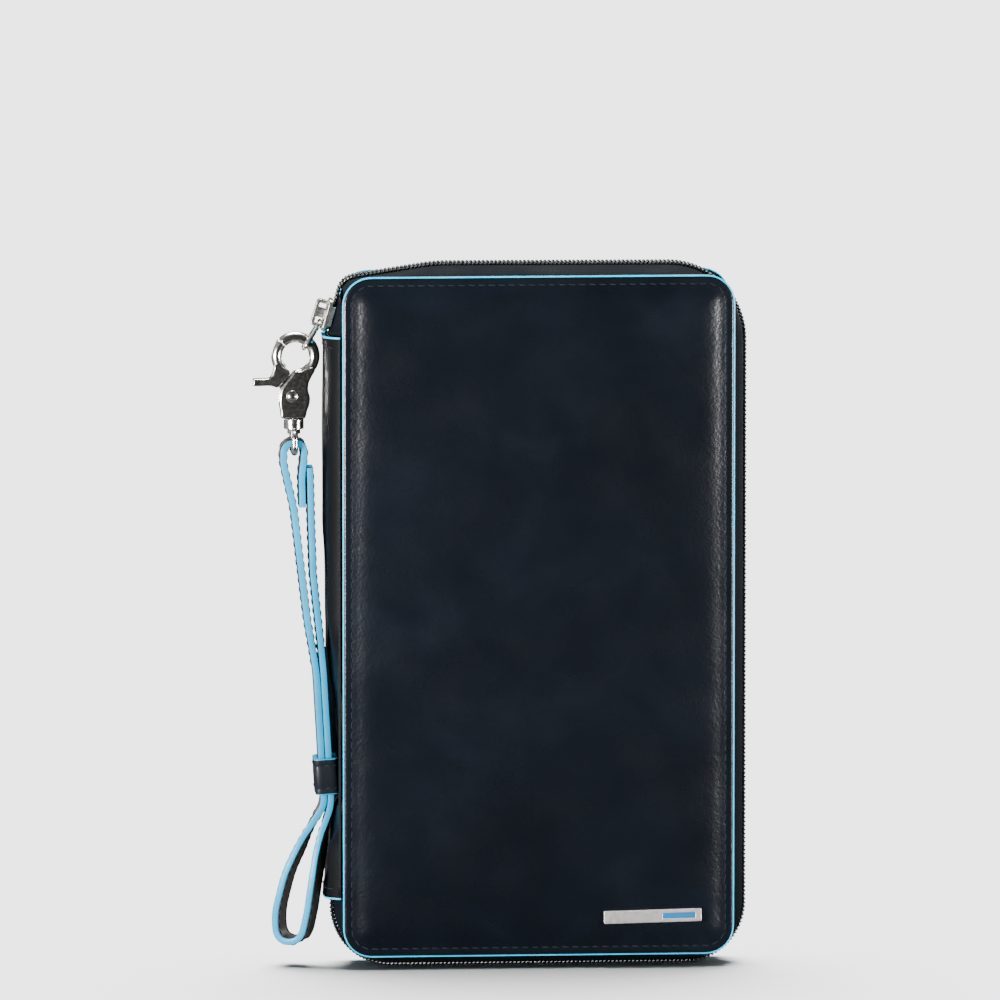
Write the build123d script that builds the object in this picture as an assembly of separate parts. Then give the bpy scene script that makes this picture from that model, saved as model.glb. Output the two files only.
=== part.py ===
"""Zip-around passport and travel wallet with a wrist strap.

Millimetres.  X runs to the right seen from the front, Y to the back, Z up.
The wallet stands on the bottom run of its zip.  The origin is the middle of that edge.
Front pieces are modelled at negative Y and the back ones are their mirror images in the plane Y = 0.
"""
from build123d import *
import math
import os

# ---------------------------------------------------------------- driving dimensions
COVER_WIDTH = 129.0
COVER_HEIGHT = 225.0
COVER_RADIUS = 9.5
CHAIN_PROUD = 4.0            # how far the zip stands beyond the covers at the sides and foot
HALF_THICKNESS = 13.0        # from the zip's mid-plane to the padded face
BORDER_FACE = 11.4           # the stitched border lies lower than the padded centre
LEATHER = 1.2
PAD_RISE = 1.6
BOARD = 1.2
TAPE = 0.6
LINING = 0.6
LINING_INSET = 1.9
EDGE_PAINT = 0.7
STITCH_BORDER = 6.5          # width of the sewn border around each cover
HALF_GAP = 0.05              # half the gap where the two coils meet
COIL_WIDTH = 2.9
COIL_THICK = 1.4
JOINT_GAP = 0.3              # between pieces that move past each other

LEATHER_BACK = BORDER_FACE - LEATHER          # 10.2
BOARD_BACK = LEATHER_BACK - BOARD             # 9.0
TAPE_BACK = LEATHER_BACK - TAPE               # 9.6
LINING_FACE = BOARD_BACK - LINING             # 8.4, the inner face that the pockets are sewn to

COVER_LEFT = -COVER_WIDTH / 2
COVER_MID_Z = CHAIN_PROUD + COVER_HEIGHT / 2
COVER_TOP = CHAIN_PROUD + COVER_HEIGHT
HINGE_X = COVER_LEFT
ROOT_LIMIT = HINGE_X - JOINT_GAP              # pieces of the spine stay left of this near the hinges

# outline of the zip chain, seen from the front
CHAIN_RIGHT = COVER_WIDTH / 2 + CHAIN_PROUD + 0.5
CHAIN_TOP = COVER_TOP + 3.6
SHOULDER = (-34.0, CHAIN_TOP)                 # where the top run starts to dip towards the spine
UPPER_CORNER = (-64.2, 227.4)
UPPER_END = (-69.6, 209.5)                    # where the chain turns in behind the spine
TUCK_TOP = 201.0
TUCK_FOOT = 30.0
CHAIN_LEFT = -68.2

# spine strip
SPINE_LOW = 23.5
SPINE_HIGH = 209.0
SPINE_EDGE = 0.7
SPINE_HALF_WIDTH = 11.1
# height and how far the strip's middle stands out from its sewn edges; it is pressed in behind the keeper
SPINE_BULGE = ((SPINE_LOW, 4.3), (30.0, 3.9), (34.0, 3.1), (41.0, 1.2), (47.0, -1.0), (54.0, -1.9), (71.0, -1.8),
               (80.0, -1.2), (90.0, 0.2), (98.0, 1.7), (108.0, 3.1), (125.0, 4.2), (150.0, 4.6), (203.0, 4.6),
               (SPINE_HIGH, 4.9))
SPINE_FOOT_X = -65.8

# slider, on the straight stretch between the upper corner and the upper end
SLIDER_LENGTH = 10.6
SLIDER_HALF_WIDTH = 4.9
SLIDER_Z = 215.3
PLATE_THICK = 1.3
NECK_HALF = 0.9
CHANNEL_HALF = 1.2
WIRE_RADIUS = 0.65

# snap hook
RING_CENTRE = (-79.1, 202.0)
RING_MAJOR = 6.2
RING_MINOR = 1.8
NOSE_ANGLE = 134.0
RIVET = (-80.3, 188.9)
HOOK_HALF = 2.4
SLOT_HALF = 1.5
SWIVEL_X = -79.7
HOOK_FOOT = 181.55
LINK_FOOT_ANGLE = 43.0

# strap
STRAP_THICK = 2.2
STRAP_HALF_WIDTH = 5.0
EYE_BAR_Z = 170.7
EYE_RADIUS = 1.15
EYE_HALF_WIDTH = 6.35
KEEPER_LOW = 57.6
KEEPER_HIGH = 69.5
KEEPER_WALL = 1.3
KEEPER_GAP = 0.15
LEG_GAP = 0.1


# ---------------------------------------------------------------- helpers
def front_slab(outline, outer, inner):
    """The closed outline (in X and Z) filled from |Y| = outer to |Y| = inner on the front side."""
    plane = Plane.XZ.offset(inner)
    with BuildPart() as slab:
        with BuildSketch(plane):
            with BuildLine(plane):
                outline()
            make_face()
        extrude(amount=outer - inner)
    return slab.part


def rounded_rectangle(width, height, radius, middle=(0.0, COVER_MID_Z)):
    """A function that draws a rounded rectangle."""
    right = middle[0] + width / 2
    left = middle[0] - width / 2
    top = middle[1] + height / 2
    low = middle[1] - height / 2

    def draw():
        FilletPolyline((right, low), (right, top), (left, top), (left, low), radius=radius, close=True)

    return draw


def cover_outline(inset):
    """The cover's rounded rectangle, drawn in by inset."""
    radius = max(COVER_RADIUS - inset, 1.5)
    return rounded_rectangle(COVER_WIDTH - 2 * inset, COVER_HEIGHT - 2 * inset, radius)


def chain_outline(inset):
    """The zip chain's outline, drawn in by inset: round at the right, dipping and slanting at the upper left."""
    right = CHAIN_RIGHT - inset
    top = CHAIN_TOP - inset
    left = CHAIN_LEFT + inset

    def draw():
        FilletPolyline(
            (right, inset), (right, top), (SHOULDER[0], top),
            (UPPER_CORNER[0] + inset * 0.8, UPPER_CORNER[1] - inset), (UPPER_END[0] + inset, UPPER_END[1]),
            (left, 150.0), (left, inset),
            radius=[20 - inset, 26 - inset, 60, 7 - inset, 10, 60, 20 - inset], close=True)

    return draw


def tape_foot_outline(inset):
    """The cover's outline with the chain outline's corners, so that the tape's wall runs straight between them."""
    right = COVER_WIDTH / 2 - inset
    top = COVER_TOP - inset
    low = CHAIN_PROUD + inset
    left = COVER_LEFT + inset
    radius = COVER_RADIUS - inset

    def draw():
        FilletPolyline(
            (right, low), (right, top), (SHOULDER[0], top),
            (left + 0.6, top - 0.3), (left + 0.1, UPPER_END[1]), (left, 150.0), (left, low),
            radius=[radius, radius, 20, radius, 20, 20, radius], close=True)

    return draw


def box_between(low, high):
    """A box from its lowest to its highest corner."""
    size = [high[i] - low[i] for i in range(3)]
    middle = [(high[i] + low[i]) / 2 for i in range(3)]
    return Pos(*middle) * Box(*size)


def flip(part):
    """The back copy of a front piece."""
    return mirror(part, about=Plane.XZ)


def wire_loop(plane, width, height, corner, radius):
    """A closed loop of round wire, a rounded rectangle centred in the given plane."""
    u, v = width / 2, height / 2
    with BuildPart() as loop:
        with BuildLine(plane) as path:
            FilletPolyline((0, -v), (u, -v), (u, v), (-u, v), (-u, -v),
                           radius=[0, corner, corner, corner, corner], close=True)
        section = Plane(origin=path.wire() @ 0, z_dir=path.wire() % 0)
        with BuildSketch(section):
            Circle(radius)
        sweep(path=path.wire(), transition=Transition.ROUND)
    return loop.part


# ---------------------------------------------------------------- one half of the wallet
def cover_leather():
    """The outer panel: a flat sewn border with a raised, padded centre."""
    border = front_slab(cover_outline(EDGE_PAINT), BORDER_FACE, LEATHER_BACK)
    centre = raised_centre(STITCH_BORDER - 1.8, BORDER_FACE, HALF_THICKNESS)
    return border + centre - raised_centre(STITCH_BORDER, LEATHER_BACK, LEATHER_BACK + PAD_RISE)


def raised_centre(inset, inner, outer):
    """A plateau with sloping sides over the padded part of a cover."""
    plane = Plane.XZ.offset(inner)
    with BuildPart() as plateau:
        with BuildSketch(plane):
            with BuildLine(plane):
                cover_outline(inset)()
            make_face()
        extrude(amount=outer - inner, taper=45)
    return plateau.part


def cover_pad():
    """Thin foam that raises the leather's centre."""
    return raised_centre(STITCH_BORDER, LEATHER_BACK, LEATHER_BACK + PAD_RISE)


def cover_edge_paint():
    """The painted cut edge of the cover leather, a rounded bead all round it."""
    outer = front_slab(cover_outline(0), BORDER_FACE, LEATHER_BACK)
    return outer - front_slab(cover_outline(EDGE_PAINT), BORDER_FACE, LEATHER_BACK)


def cover_board():
    """The stiffener under the pad."""
    return front_slab(cover_outline(STITCH_BORDER), LEATHER_BACK, BOARD_BACK)


def cover_lining():
    """Lining with a thicker rim that holds the tape against the leather."""
    sheet = front_slab(cover_outline(LINING_INSET), TAPE_BACK, LINING_FACE)
    return sheet - front_slab(cover_outline(STITCH_BORDER), TAPE_BACK, BOARD_BACK)


def whole_tape():
    """The zip tape all round: a sewn flange, a wall up to the chain and a flat strip under the coil."""
    flange = front_slab(tape_foot_outline(0.5), LEATHER_BACK, TAPE_BACK)
    flange -= front_slab(cover_outline(STITCH_BORDER), LEATHER_BACK, TAPE_BACK)
    strip_foot = HALF_GAP + COIL_WIDTH + 0.3
    wall = tape_cone(0.5, COIL_THICK, strip_foot) - tape_cone(0.5 + TAPE, COIL_THICK + TAPE, strip_foot)
    strip = front_slab(chain_outline(COIL_THICK), strip_foot, HALF_GAP)
    strip -= front_slab(chain_outline(COIL_THICK + TAPE), strip_foot, HALF_GAP)
    return flange + wall + strip


def tape_cone(foot_inset, chain_inset, strip_foot):
    """A solid between the cover's outline and the chain's outline."""
    foot_plane = Plane.XZ.offset(TAPE_BACK)
    chain_plane = Plane.XZ.offset(strip_foot)
    with BuildPart() as cone:
        with BuildSketch(foot_plane):
            with BuildLine(foot_plane):
                tape_foot_outline(foot_inset)()
            make_face()
        with BuildSketch(chain_plane):
            with BuildLine(chain_plane):
                chain_outline(chain_inset)()
            make_face()
        loft(ruled=True)
    return cone.part


def whole_coil():
    """The coil's envelope all round."""
    outer = front_slab(chain_outline(0), HALF_GAP + COIL_WIDTH, HALF_GAP)
    return outer - front_slab(chain_outline(COIL_THICK), HALF_GAP + COIL_WIDTH, HALF_GAP)


def cover_share(part):
    """The stretch of tape or coil that swings with a cover."""
    share = part & box_between((HINGE_X, -20, -10), (100, 0, 250))
    return share - box_between((HINGE_X - 1, -20, TUCK_FOOT + 2), (HINGE_X + STITCH_BORDER + 0.5, 0, TUCK_TOP - 2))


def spine_share(part, low, high):
    """The stretch of tape or coil that stays with the spine, between two heights."""
    return part & box_between((-90, -20, low), (ROOT_LIMIT, 0, high))


# ---------------------------------------------------------------- pockets
POCKET_LEATHER = 0.9
POCKET_RIM = 0.5
POCKET_WIDTH = 112.0
POCKET_LEFT = -52.0


def pocket(low, high, seat, left=POCKET_LEFT, width=POCKET_WIDTH):
    """A leather panel sewn down on three sides, open at the top; seat is |Y| of the face it is sewn to."""
    face = seat - POCKET_RIM - POCKET_LEATHER
    panel = front_slab(rounded_rectangle(width, high - low, 3, (left + width / 2, (low + high) / 2)), seat, face)
    seam = 3.0
    hollow = box_between((left + seam, -seat - 1, low + seam), (left + width - seam, POCKET_RIM - seat, high + 1))
    return panel - hollow


def card_slots():
    """Four card slots, each lower and nearer than the one behind it."""
    slots = []
    for step in range(4):
        seat = LINING_FACE - POCKET_RIM - POCKET_LEATHER - step * POCKET_LEATHER
        high = 150.0 - 14.0 * step
        low = 62.0
        outline = rounded_rectangle(92.0, high - low, 2, (POCKET_LEFT + 56.0, (low + high) / 2))
        slots.append(front_slab(outline, seat, seat - POCKET_LEATHER))
    return slots


# ---------------------------------------------------------------- spine
def spine_layer(outer_depth, inner_depth, half_width, low, high):
    """A curved strip that follows the spine's bulge, between two depths below its outer face."""
    heights = [z for z, _ in SPINE_BULGE if low < z < high]
    with BuildPart() as strip:
        for z in [low] + heights + [high]:
            with BuildSketch(Plane.XY.offset(z)):
                with BuildLine():
                    outer = spine_arc(z, outer_depth, half_width)
                    inner = spine_arc(z, inner_depth, half_width - 0.6 * (inner_depth - outer_depth))
                    Line(outer @ 0, inner @ 0)
                    Line(outer @ 1, inner @ 1)
                make_face()
        loft(ruled=True)
    return strip.part


def spine_bulge_at(z):
    """The bulge at a height, in straight steps between the listed ones."""
    for (z0, b0), (z1, b1) in zip(SPINE_BULGE, SPINE_BULGE[1:]):
        if z0 <= z <= z1:
            return b0 + (b1 - b0) * (z - z0) / (z1 - z0)
    return SPINE_BULGE[-1][1]


def spine_arc(z, depth, half_width):
    """One parabola across the spine at a height; depth is measured inwards from the outer face."""
    bulge = spine_bulge_at(z)
    share = (half_width / SPINE_HALF_WIDTH) ** 2
    middle = SPINE_FOOT_X - bulge + depth
    end = SPINE_FOOT_X - bulge * (1 - share) + depth * (1 - 0.4 * share)
    return Bezier((end, -half_width), (2 * middle - end, 0), (end, half_width))


# ---------------------------------------------------------------- slider and link
def chain_direction():
    """Unit vector up the slanted stretch of chain."""
    dx = UPPER_CORNER[0] - UPPER_END[0]
    dz = UPPER_CORNER[1] - UPPER_END[1]
    length = math.hypot(dx, dz)
    return dx / length, dz / length


def slider_plane():
    """X outwards from the chain, Z up along it, the origin on the coil's outer face."""
    ux, uz = chain_direction()
    share = (UPPER_CORNER[1] - SLIDER_Z) / (UPPER_CORNER[1] - UPPER_END[1])
    x = UPPER_CORNER[0] + (UPPER_END[0] - UPPER_CORNER[0]) * share
    return Plane(origin=(x, 0, SLIDER_Z), x_dir=(-uz, 0, ux), z_dir=(ux, 0, uz))


def slider_body():
    """Outer plate with turned-down sides, inner plate and the neck that parts the coils."""
    half = SLIDER_LENGTH / 2
    plate = box_between((JOINT_GAP, -SLIDER_HALF_WIDTH, -half), (JOINT_GAP + PLATE_THICK, SLIDER_HALF_WIDTH, half))
    plate = fillet(plate.edges().filter_by(Axis.X), 1.6)
    for side in (-1, 1):
        inner, outer = sorted((side * 4.3, side * SLIDER_HALF_WIDTH))
        plate += box_between((-1.0, inner, -half + 2), (JOINT_GAP, outer, half - 2))
    lower = box_between((-3.9, -4.2, -half + 0.6), (-2.9, 4.2, half - 0.6))
    lower = fillet(lower.edges().filter_by(Axis.X), 1.4)
    neck = box_between((-2.9, -NECK_HALF, -half + 0.7), (JOINT_GAP, NECK_HALF, -half + 2.6))
    return slider_plane() * (plate + lower + neck)


def slider_bridge():
    """The arched lock cover that holds the link."""
    seat = JOINT_GAP + PLATE_THICK
    top = seat + 3.9
    block = box_between((seat, -1.6, -4.8), (top, 1.6, 4.4))
    block = fillet(block.edges().filter_by(Axis.Y).group_by(Axis.X)[-1], 1.5)
    link_window = box_between((seat, -2, -3.7), (top - 1.2, 2, -1.5))
    lock_window = box_between((seat, -2, 1.6), (top - 1.2, 2, 3.2))
    return slider_plane() * (block - link_window - lock_window)


def channel(low, high):
    """Room between the coils, along the slider's travel."""
    return slider_plane() * box_between((-5, -CHANNEL_HALF, low), (3, CHANNEL_HALF, high))


def link_head():
    """Centre of the link's bar in the bridge, in X and Z."""
    point = slider_plane().from_local_coords(Vector(2.45, 0, -2.85))
    return point.X, point.Z


def link_foot():
    """Centre of the link's bar in the snap ring, in X and Z."""
    reach = RING_MAJOR - RING_MINOR - WIRE_RADIUS - 0.1
    angle = math.radians(LINK_FOOT_ANGLE)
    return RING_CENTRE[0] + reach * math.cos(angle), RING_CENTRE[1] + reach * math.sin(angle)


def pull_link():
    """A flat oval of wire from the slider's bridge to the snap ring."""
    (x0, z0), (x1, z1) = link_head(), link_foot()
    length = math.hypot(x1 - x0, z1 - z0)
    along = ((x0 - x1) / length, 0, (z0 - z1) / length)
    plane = Plane(origin=((x0 + x1) / 2, 0, (z0 + z1) / 2), x_dir=(0, 1, 0), z_dir=Vector(0, 1, 0).cross(Vector(*along)))
    return wire_loop(plane, 6.6, length, 1.9, WIRE_RADIUS)


# ---------------------------------------------------------------- snap hook
def ring_sector(start, end):
    """Part of the snap ring, between two angles seen from the front."""
    first = math.radians(start)
    radial = Vector(math.cos(first), 0, math.sin(first))
    centre = Vector(RING_CENTRE[0], 0, RING_CENTRE[1])
    section = Plane(origin=centre + radial * RING_MAJOR, x_dir=radial, z_dir=(-math.sin(first), 0, math.cos(first)))
    return revolve(section * Circle(RING_MINOR), Axis((centre.X, 0, centre.Z), (0, -1, 0)), end - start)


def plate_from(points, half):
    """A flat plate with straight edges, centred on Y = 0; the points are in X and Z."""
    outline = make_face(Polyline(*points, close=True).edges())
    return extrude(Plane.XZ * outline, amount=half, both=True)


def upright(radius, low, high):
    """A vertical cylinder on the swivel's axis."""
    return Pos(SWIVEL_X, 0, (low + high) / 2) * Cylinder(radius, high - low)


def across(radius, low, high, at=RIVET):
    """A cylinder along Y between two depths."""
    return Pos(at[0], (low + high) / 2, at[1]) * Rot(90, 0, 0) * Cylinder(radius, high - low)


def hook_body():
    """The ring's right side with its nose, and the cheeked body that holds the gate and the swivel."""
    x, z = RING_CENTRE
    body = plate_from([
        (x + 3.6, z - 3.6), (x + 5.6, z - 7.4), (x + 4.7, z - 10.5), (x + 4.7, z - 14.5), (x + 3.7, HOOK_FOOT),
        (x - 4.5, HOOK_FOOT), (x - 5.5, z - 14.5), (x - 5.2, z - 10.4), (x - 1.2, z - 5.2)], HOOK_HALF)
    body = fillet(body.edges().filter_by(Axis.Y), 0.6)
    body += ring_sector(-85, NOSE_ANGLE)
    body -= box_between((x - 9, -SLOT_HALF, 186.4), (x + 1.4, SLOT_HALF, 198.5))
    body -= upright(1.35, HOOK_FOOT - 1, 184.2) + upright(2.0, 183.6, 185.2)
    return body - across(1.0, -5, 5)


def hook_gate():
    """The ring's left side, the thumb lever and the tail on the rivet."""
    x, z = RING_CENTRE
    arc = ring_sector(NOSE_ANGLE + 3, 228)
    cheek = plate_from([
        (x - 1.44, z - 5.02), (x - 2.9, z - 3.6), (x - 5.9, z - 4.0), (x - 7.1, z - 7.4), (x - 6.2, z - 9.8),
        (x - 5.44, z - 10.22)], 1.8)
    lever = plate_from([
        (x - 5.9, z - 9.7), (x - 13.4, z - 9.7), (x - 13.8, z - 8.6), (x - 13.4, z - 7.5), (x - 6.0, z - 7.5)], 2.2)
    tail = plate_from([
        (x - 2.6, z - 4.8), (x - 5.9, z - 9.0), (x - 3.1, z - 14.2), (x + 0.4, z - 14.2), (x + 0.4, z - 11.8)], 0.6)
    return arc + cheek + lever + tail + across(1.9, -0.6, 0.6) - across(1.05, -5, 5)


def hook_rivet():
    """A headed rivet through the cheeks and the gate's tail."""
    rivet = across(1.0, -HOOK_HALF, HOOK_HALF)
    for side in (-1, 1):
        low, high = sorted((side * HOOK_HALF, side * (HOOK_HALF + 0.5)))
        rivet += across(1.95, low, high)
    return rivet


def gate_spring():
    """The torsion spring's turns around the rivet, with the leg that rests in the slot."""
    turns = across(1.75, 0.7, 1.4) - across(1.1, 0, 3)
    leg = box_between((RIVET[0] - 1.75, 0.7, RIVET[1] - 2.3), (RIVET[0] - 1.2, 1.4, RIVET[1]))
    return turns + leg


def swivel_eye():
    """A headed post in the hook's foot, its collar and neck, and the eye that the strap hangs on."""
    post = upright(1.3, 178, 184.4) + upright(1.9, 183.7, 184.9)
    collar = upright(3.3, 178.0, 181.4) + upright(2.15, 176.4, 178.0)
    eye_top = 177.2
    plane = Plane(origin=(SWIVEL_X, 0, (eye_top + EYE_BAR_Z) / 2), x_dir=(0, 1, 0), z_dir=(1, 0, 0))
    eye = wire_loop(plane, 2 * EYE_HALF_WIDTH, eye_top - EYE_BAR_Z, 2.2, EYE_RADIUS)
    return post + collar + eye


# ---------------------------------------------------------------- strap
LEG_TOP = Vector(-72.3, 0, 98.0)     # middle of the two legs, top and foot of the stretch where they lie together
LEG_FOOT = Vector(-69.8, 0, 54.0)


def leg_direction():
    """Unit vector up the stretch where the strap's legs lie together."""
    return (LEG_TOP - LEG_FOOT).normalized()


def leg_point(middle, side):
    """A point on one leg's centre line; side is 1 for the leg next to the spine."""
    offset = (STRAP_THICK + LEG_GAP) / 2 * side
    up = leg_direction()
    return middle.X + up.Z * offset, middle.Z - up.X * offset


def strap():
    """One leather strip: down beside the spine, round the wrist loop, up, over the eye's bar and back between."""
    route = [
        (-74.6, 165.5), (-74.2, 148.0), (-73.6, 130.0), (-72.0, 109.0), leg_point(LEG_TOP, 1),
        leg_point(LEG_FOOT, 1), (-70.9, 45.0), (-72.4, 32.0), (-74.0, 19.0), (-76.8, 8.4),
        (-85.4, 8.3), (-86.0, 17.5), (-82.3, 31.0), (-76.0, 43.5), leg_point(LEG_FOOT, -1),
        leg_point(LEG_TOP, -1), (-75.5, 115.0), (-77.9, 135.0), (-79.9, 152.0), (-83.4, 167.5), (-83.0, 173.8),
        (-76.4, 173.8), (-76.5, 169.0), (-77.3, 163.0), (-77.1, 152.5)]
    bends = [40, 40, 60, 60, 20, 20, 60, 30, 5, 4, 20, 40, 20, 7, 60, 60, 60, 10, 2.6, 2.6, 5, 5, 8]
    path = Plane.XZ * FilletPolyline(*route, radius=strap_bends(route, bends))
    section = Plane(origin=path @ 0, x_dir=(0, 1, 0), z_dir=path % 0)
    print("strap length", round(path.length, 1))
    return sweep(section * Rectangle(2 * STRAP_HALF_WIDTH, STRAP_THICK), path=path)


def strap_bends(route, wanted):
    """The wanted bend radii, each no larger than its two runs allow."""
    bends = []
    for before, at, after, radius in zip(route, route[1:], route[2:], wanted):
        into = Vector(at[0] - before[0], at[1] - before[1])
        out = Vector(after[0] - at[0], after[1] - at[1])
        turn = math.radians(into.get_angle(out))
        room = 0.45 * min(into.length, out.length) / math.tan(turn / 2)
        bends.append(min(radius, room))
    return bends


def keeper():
    """A leather band round both legs of the strap."""
    up = leg_direction()
    middle = (KEEPER_LOW + KEEPER_HIGH) / 2
    share = (middle - LEG_FOOT.Z) / (LEG_TOP.Z - LEG_FOOT.Z)
    centre = LEG_FOOT + (LEG_TOP - LEG_FOOT) * share
    plane = Plane(origin=centre, x_dir=(up.Z, 0, -up.X), z_dir=up)
    inner_x = STRAP_THICK + LEG_GAP / 2 + KEEPER_GAP
    inner_y = STRAP_HALF_WIDTH + KEEPER_GAP
    tall = KEEPER_HIGH - KEEPER_LOW
    band = Box(2 * (inner_x + KEEPER_WALL), 2 * (inner_y + KEEPER_WALL), tall)
    band = fillet(band.edges().filter_by(Axis.Z), 1.5)
    return plane * (band - Box(2 * inner_x, 2 * inner_y, tall + 2))


# ---------------------------------------------------------------- plate on the front cover
def name_plate():
    """A slim polished plate with a recess for its inlay."""
    plate = box_between((21.3, -HALF_THICKNESS - 1.1, 15.2), (53.4, -HALF_THICKNESS, 19.4))
    plate = fillet(plate.edges().filter_by(Axis.Y), 0.4)
    return plate - box_between((40.6, -HALF_THICKNESS - 1.1, 16.4), (51.4, -HALF_THICKNESS - 0.6, 18.2))


def plate_inlay():
    """The coloured bar in the plate."""
    return box_between((40.6, -HALF_THICKNESS - 1.0, 16.4), (51.4, -HALF_THICKNESS - 0.6, 18.2))


# ---------------------------------------------------------------- everything
def stop(low, high, width):
    """A metal end stop on each coil's end, in the slider's frame."""
    return [slider_plane() * box_between((-COIL_THICK, side * 2.1 - width / 2, low),
                                         (-0.9, side * 2.1 + width / 2, high)) for side in (-1, 1)]


def zip_pieces(nodes):
    """Tape and coil: a share for each cover and two ends that stay with the spine."""
    tape = whole_tape()
    coil = whole_coil()
    nodes["front_zip_tape"] = cover_share(tape)
    nodes["back_zip_tape"] = flip(cover_share(tape))
    nodes["front_zip_coil"] = cover_share(coil)
    nodes["back_zip_coil"] = flip(cover_share(coil))
    room = channel(-20, SLIDER_LENGTH / 2)
    coil_room = channel(-20, SLIDER_LENGTH / 2) + slider_plane() * box_between((-9, -9, -20), (9, 9, -6.2))
    high = spine_share(tape, TUCK_TOP, 250) - room
    nodes["upper_tape_end"] = Compound(children=[high, flip(high)])
    low = spine_share(tape, -10, TUCK_FOOT)
    nodes["lower_tape_end"] = Compound(children=[low, flip(low)])
    high = spine_share(coil, TUCK_TOP, 250) - coil_room
    nodes["upper_coil_end"] = Compound(children=[high, flip(high)])
    low = spine_share(coil, -10, TUCK_FOOT - 2)
    nodes["lower_coil_end"] = Compound(children=[low, flip(low)])
    nodes["upper_end_stop"] = Compound(children=stop(-7.8, -6.2, 1.6))
    nodes["lower_end_stop"] = box_between((CHAIN_LEFT, -2.6, TUCK_FOOT - 2),
                                          (CHAIN_LEFT + COIL_THICK, 2.6, TUCK_FOOT - 0.4))


def cover_pieces(nodes):
    """The layers of the two covers and the pockets inside them."""
    for name, make in (("cover_leather", cover_leather), ("edge_paint", cover_edge_paint), ("foam_pad", cover_pad),
                       ("stiffener_board", cover_board), ("lining", cover_lining)):
        piece = make()
        nodes["front_" + name] = piece
        nodes["back_" + name] = flip(piece)
    nodes["slip_pocket"] = pocket(12.0, 190.0, LINING_FACE)
    for number, slot in enumerate(card_slots(), start=1):
        nodes[f"card_slot_{number}"] = slot
    nodes["ticket_pocket"] = flip(pocket(12.0, 205.0, LINING_FACE))
    sleeve_seat = LINING_FACE - POCKET_RIM - POCKET_LEATHER
    nodes["passport_sleeve"] = flip(pocket(40.0, 150.0, sleeve_seat, POCKET_LEFT + 8, 96.0))
    nodes["metal_plate"] = name_plate()
    nodes["plate_inlay"] = plate_inlay()


def spine_pieces(nodes):
    """The spine strip, its painted ends and what backs it."""
    nodes["spine_leather"] = spine_layer(0, LEATHER, SPINE_HALF_WIDTH, SPINE_LOW + SPINE_EDGE, SPINE_HIGH - SPINE_EDGE)
    nodes["spine_foot_paint"] = spine_layer(0, LEATHER, SPINE_HALF_WIDTH, SPINE_LOW, SPINE_LOW + SPINE_EDGE)
    nodes["spine_head_paint"] = spine_layer(0, LEATHER, SPINE_HALF_WIDTH, SPINE_HIGH - SPINE_EDGE, SPINE_HIGH)
    nodes["spine_stiffener"] = spine_layer(1.35, 2.15, 8.0, 36.0, 198.0)
    nodes["spine_lining"] = spine_layer(2.3, 2.9, 7.6, 36.0, 198.0)


def main():
    """Builds every piece and writes one STEP file for each."""
    nodes = {}
    cover_pieces(nodes)
    spine_pieces(nodes)
    zip_pieces(nodes)
    nodes["slider_body"] = slider_body()
    nodes["slider_bridge"] = slider_bridge()
    nodes["pull_link"] = pull_link()
    nodes["hook_body"] = hook_body()
    nodes["hook_gate"] = hook_gate()
    nodes["hook_rivet"] = hook_rivet()
    nodes["gate_spring"] = gate_spring()
    nodes["swivel_eye"] = swivel_eye()
    nodes["wrist_strap"] = strap()
    nodes["strap_keeper"] = keeper()
    os.makedirs("parts", exist_ok=True)
    for name, piece in nodes.items():
        export_step(piece, f"parts/{name}.step")


main()
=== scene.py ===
"""Looks of the zip-around travel wallet: padded leather covers, coil zip, snap hook and wrist strap.

The frame is the CAD model's: X to the right seen from the front, Y to the back, Z up, origin under the
middle. Shapes are worked out in millimetres and become metres when a mesh is made.
"""
import math

import bmesh
import bpy
from mathutils import Matrix, Vector, noise


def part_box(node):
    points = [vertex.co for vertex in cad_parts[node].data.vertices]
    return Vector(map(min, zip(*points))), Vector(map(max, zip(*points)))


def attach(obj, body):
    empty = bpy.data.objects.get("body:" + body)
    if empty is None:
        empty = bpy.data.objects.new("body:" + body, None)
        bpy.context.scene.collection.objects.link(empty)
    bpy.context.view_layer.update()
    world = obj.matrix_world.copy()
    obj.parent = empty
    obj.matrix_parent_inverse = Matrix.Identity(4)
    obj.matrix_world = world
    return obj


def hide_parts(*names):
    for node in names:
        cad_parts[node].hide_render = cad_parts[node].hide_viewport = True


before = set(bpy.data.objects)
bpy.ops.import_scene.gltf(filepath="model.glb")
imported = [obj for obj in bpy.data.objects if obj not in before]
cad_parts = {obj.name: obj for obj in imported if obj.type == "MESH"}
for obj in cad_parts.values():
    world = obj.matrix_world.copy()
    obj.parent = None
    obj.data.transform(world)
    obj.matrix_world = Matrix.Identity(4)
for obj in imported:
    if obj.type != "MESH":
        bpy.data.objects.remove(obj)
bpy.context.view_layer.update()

MM = 0.001

# cover outline and layers, millimetres
HALF_WIDTH = 64.5
HALF_HEIGHT = 112.5
MID_HEIGHT = 116.5
CORNER = 9.5
STITCH_INSET = 3.0
STITCH_PITCH = 3.3

# the zip chain's outline: corners in X and Z with their radii
CHAIN = [((69.0, 0.0), 20), ((69.0, 232.6), 26), ((-34.0, 233.0), 60), ((-64.5, 228.3), 7),
         ((-69.6, 209.5), 10), ((-68.2, 150.0), 60), ((-68.2, 0.0), 20)]
# the same for the line where the tape meets the cover
TAPE_FOOT = [((63.6, 4.9), 9), ((63.6, 228.1), 9), ((-34.0, 228.1), 20), ((-63.0, 227.8), 8.5),
             ((-63.5, 209.5), 20), ((-63.6, 150.0), 20), ((-63.6, 4.9), 9)]
COIL_PITCH = 1.35
HINGE_X = -64.5


SIDES = (("front", -1), ("back", 1))


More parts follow.
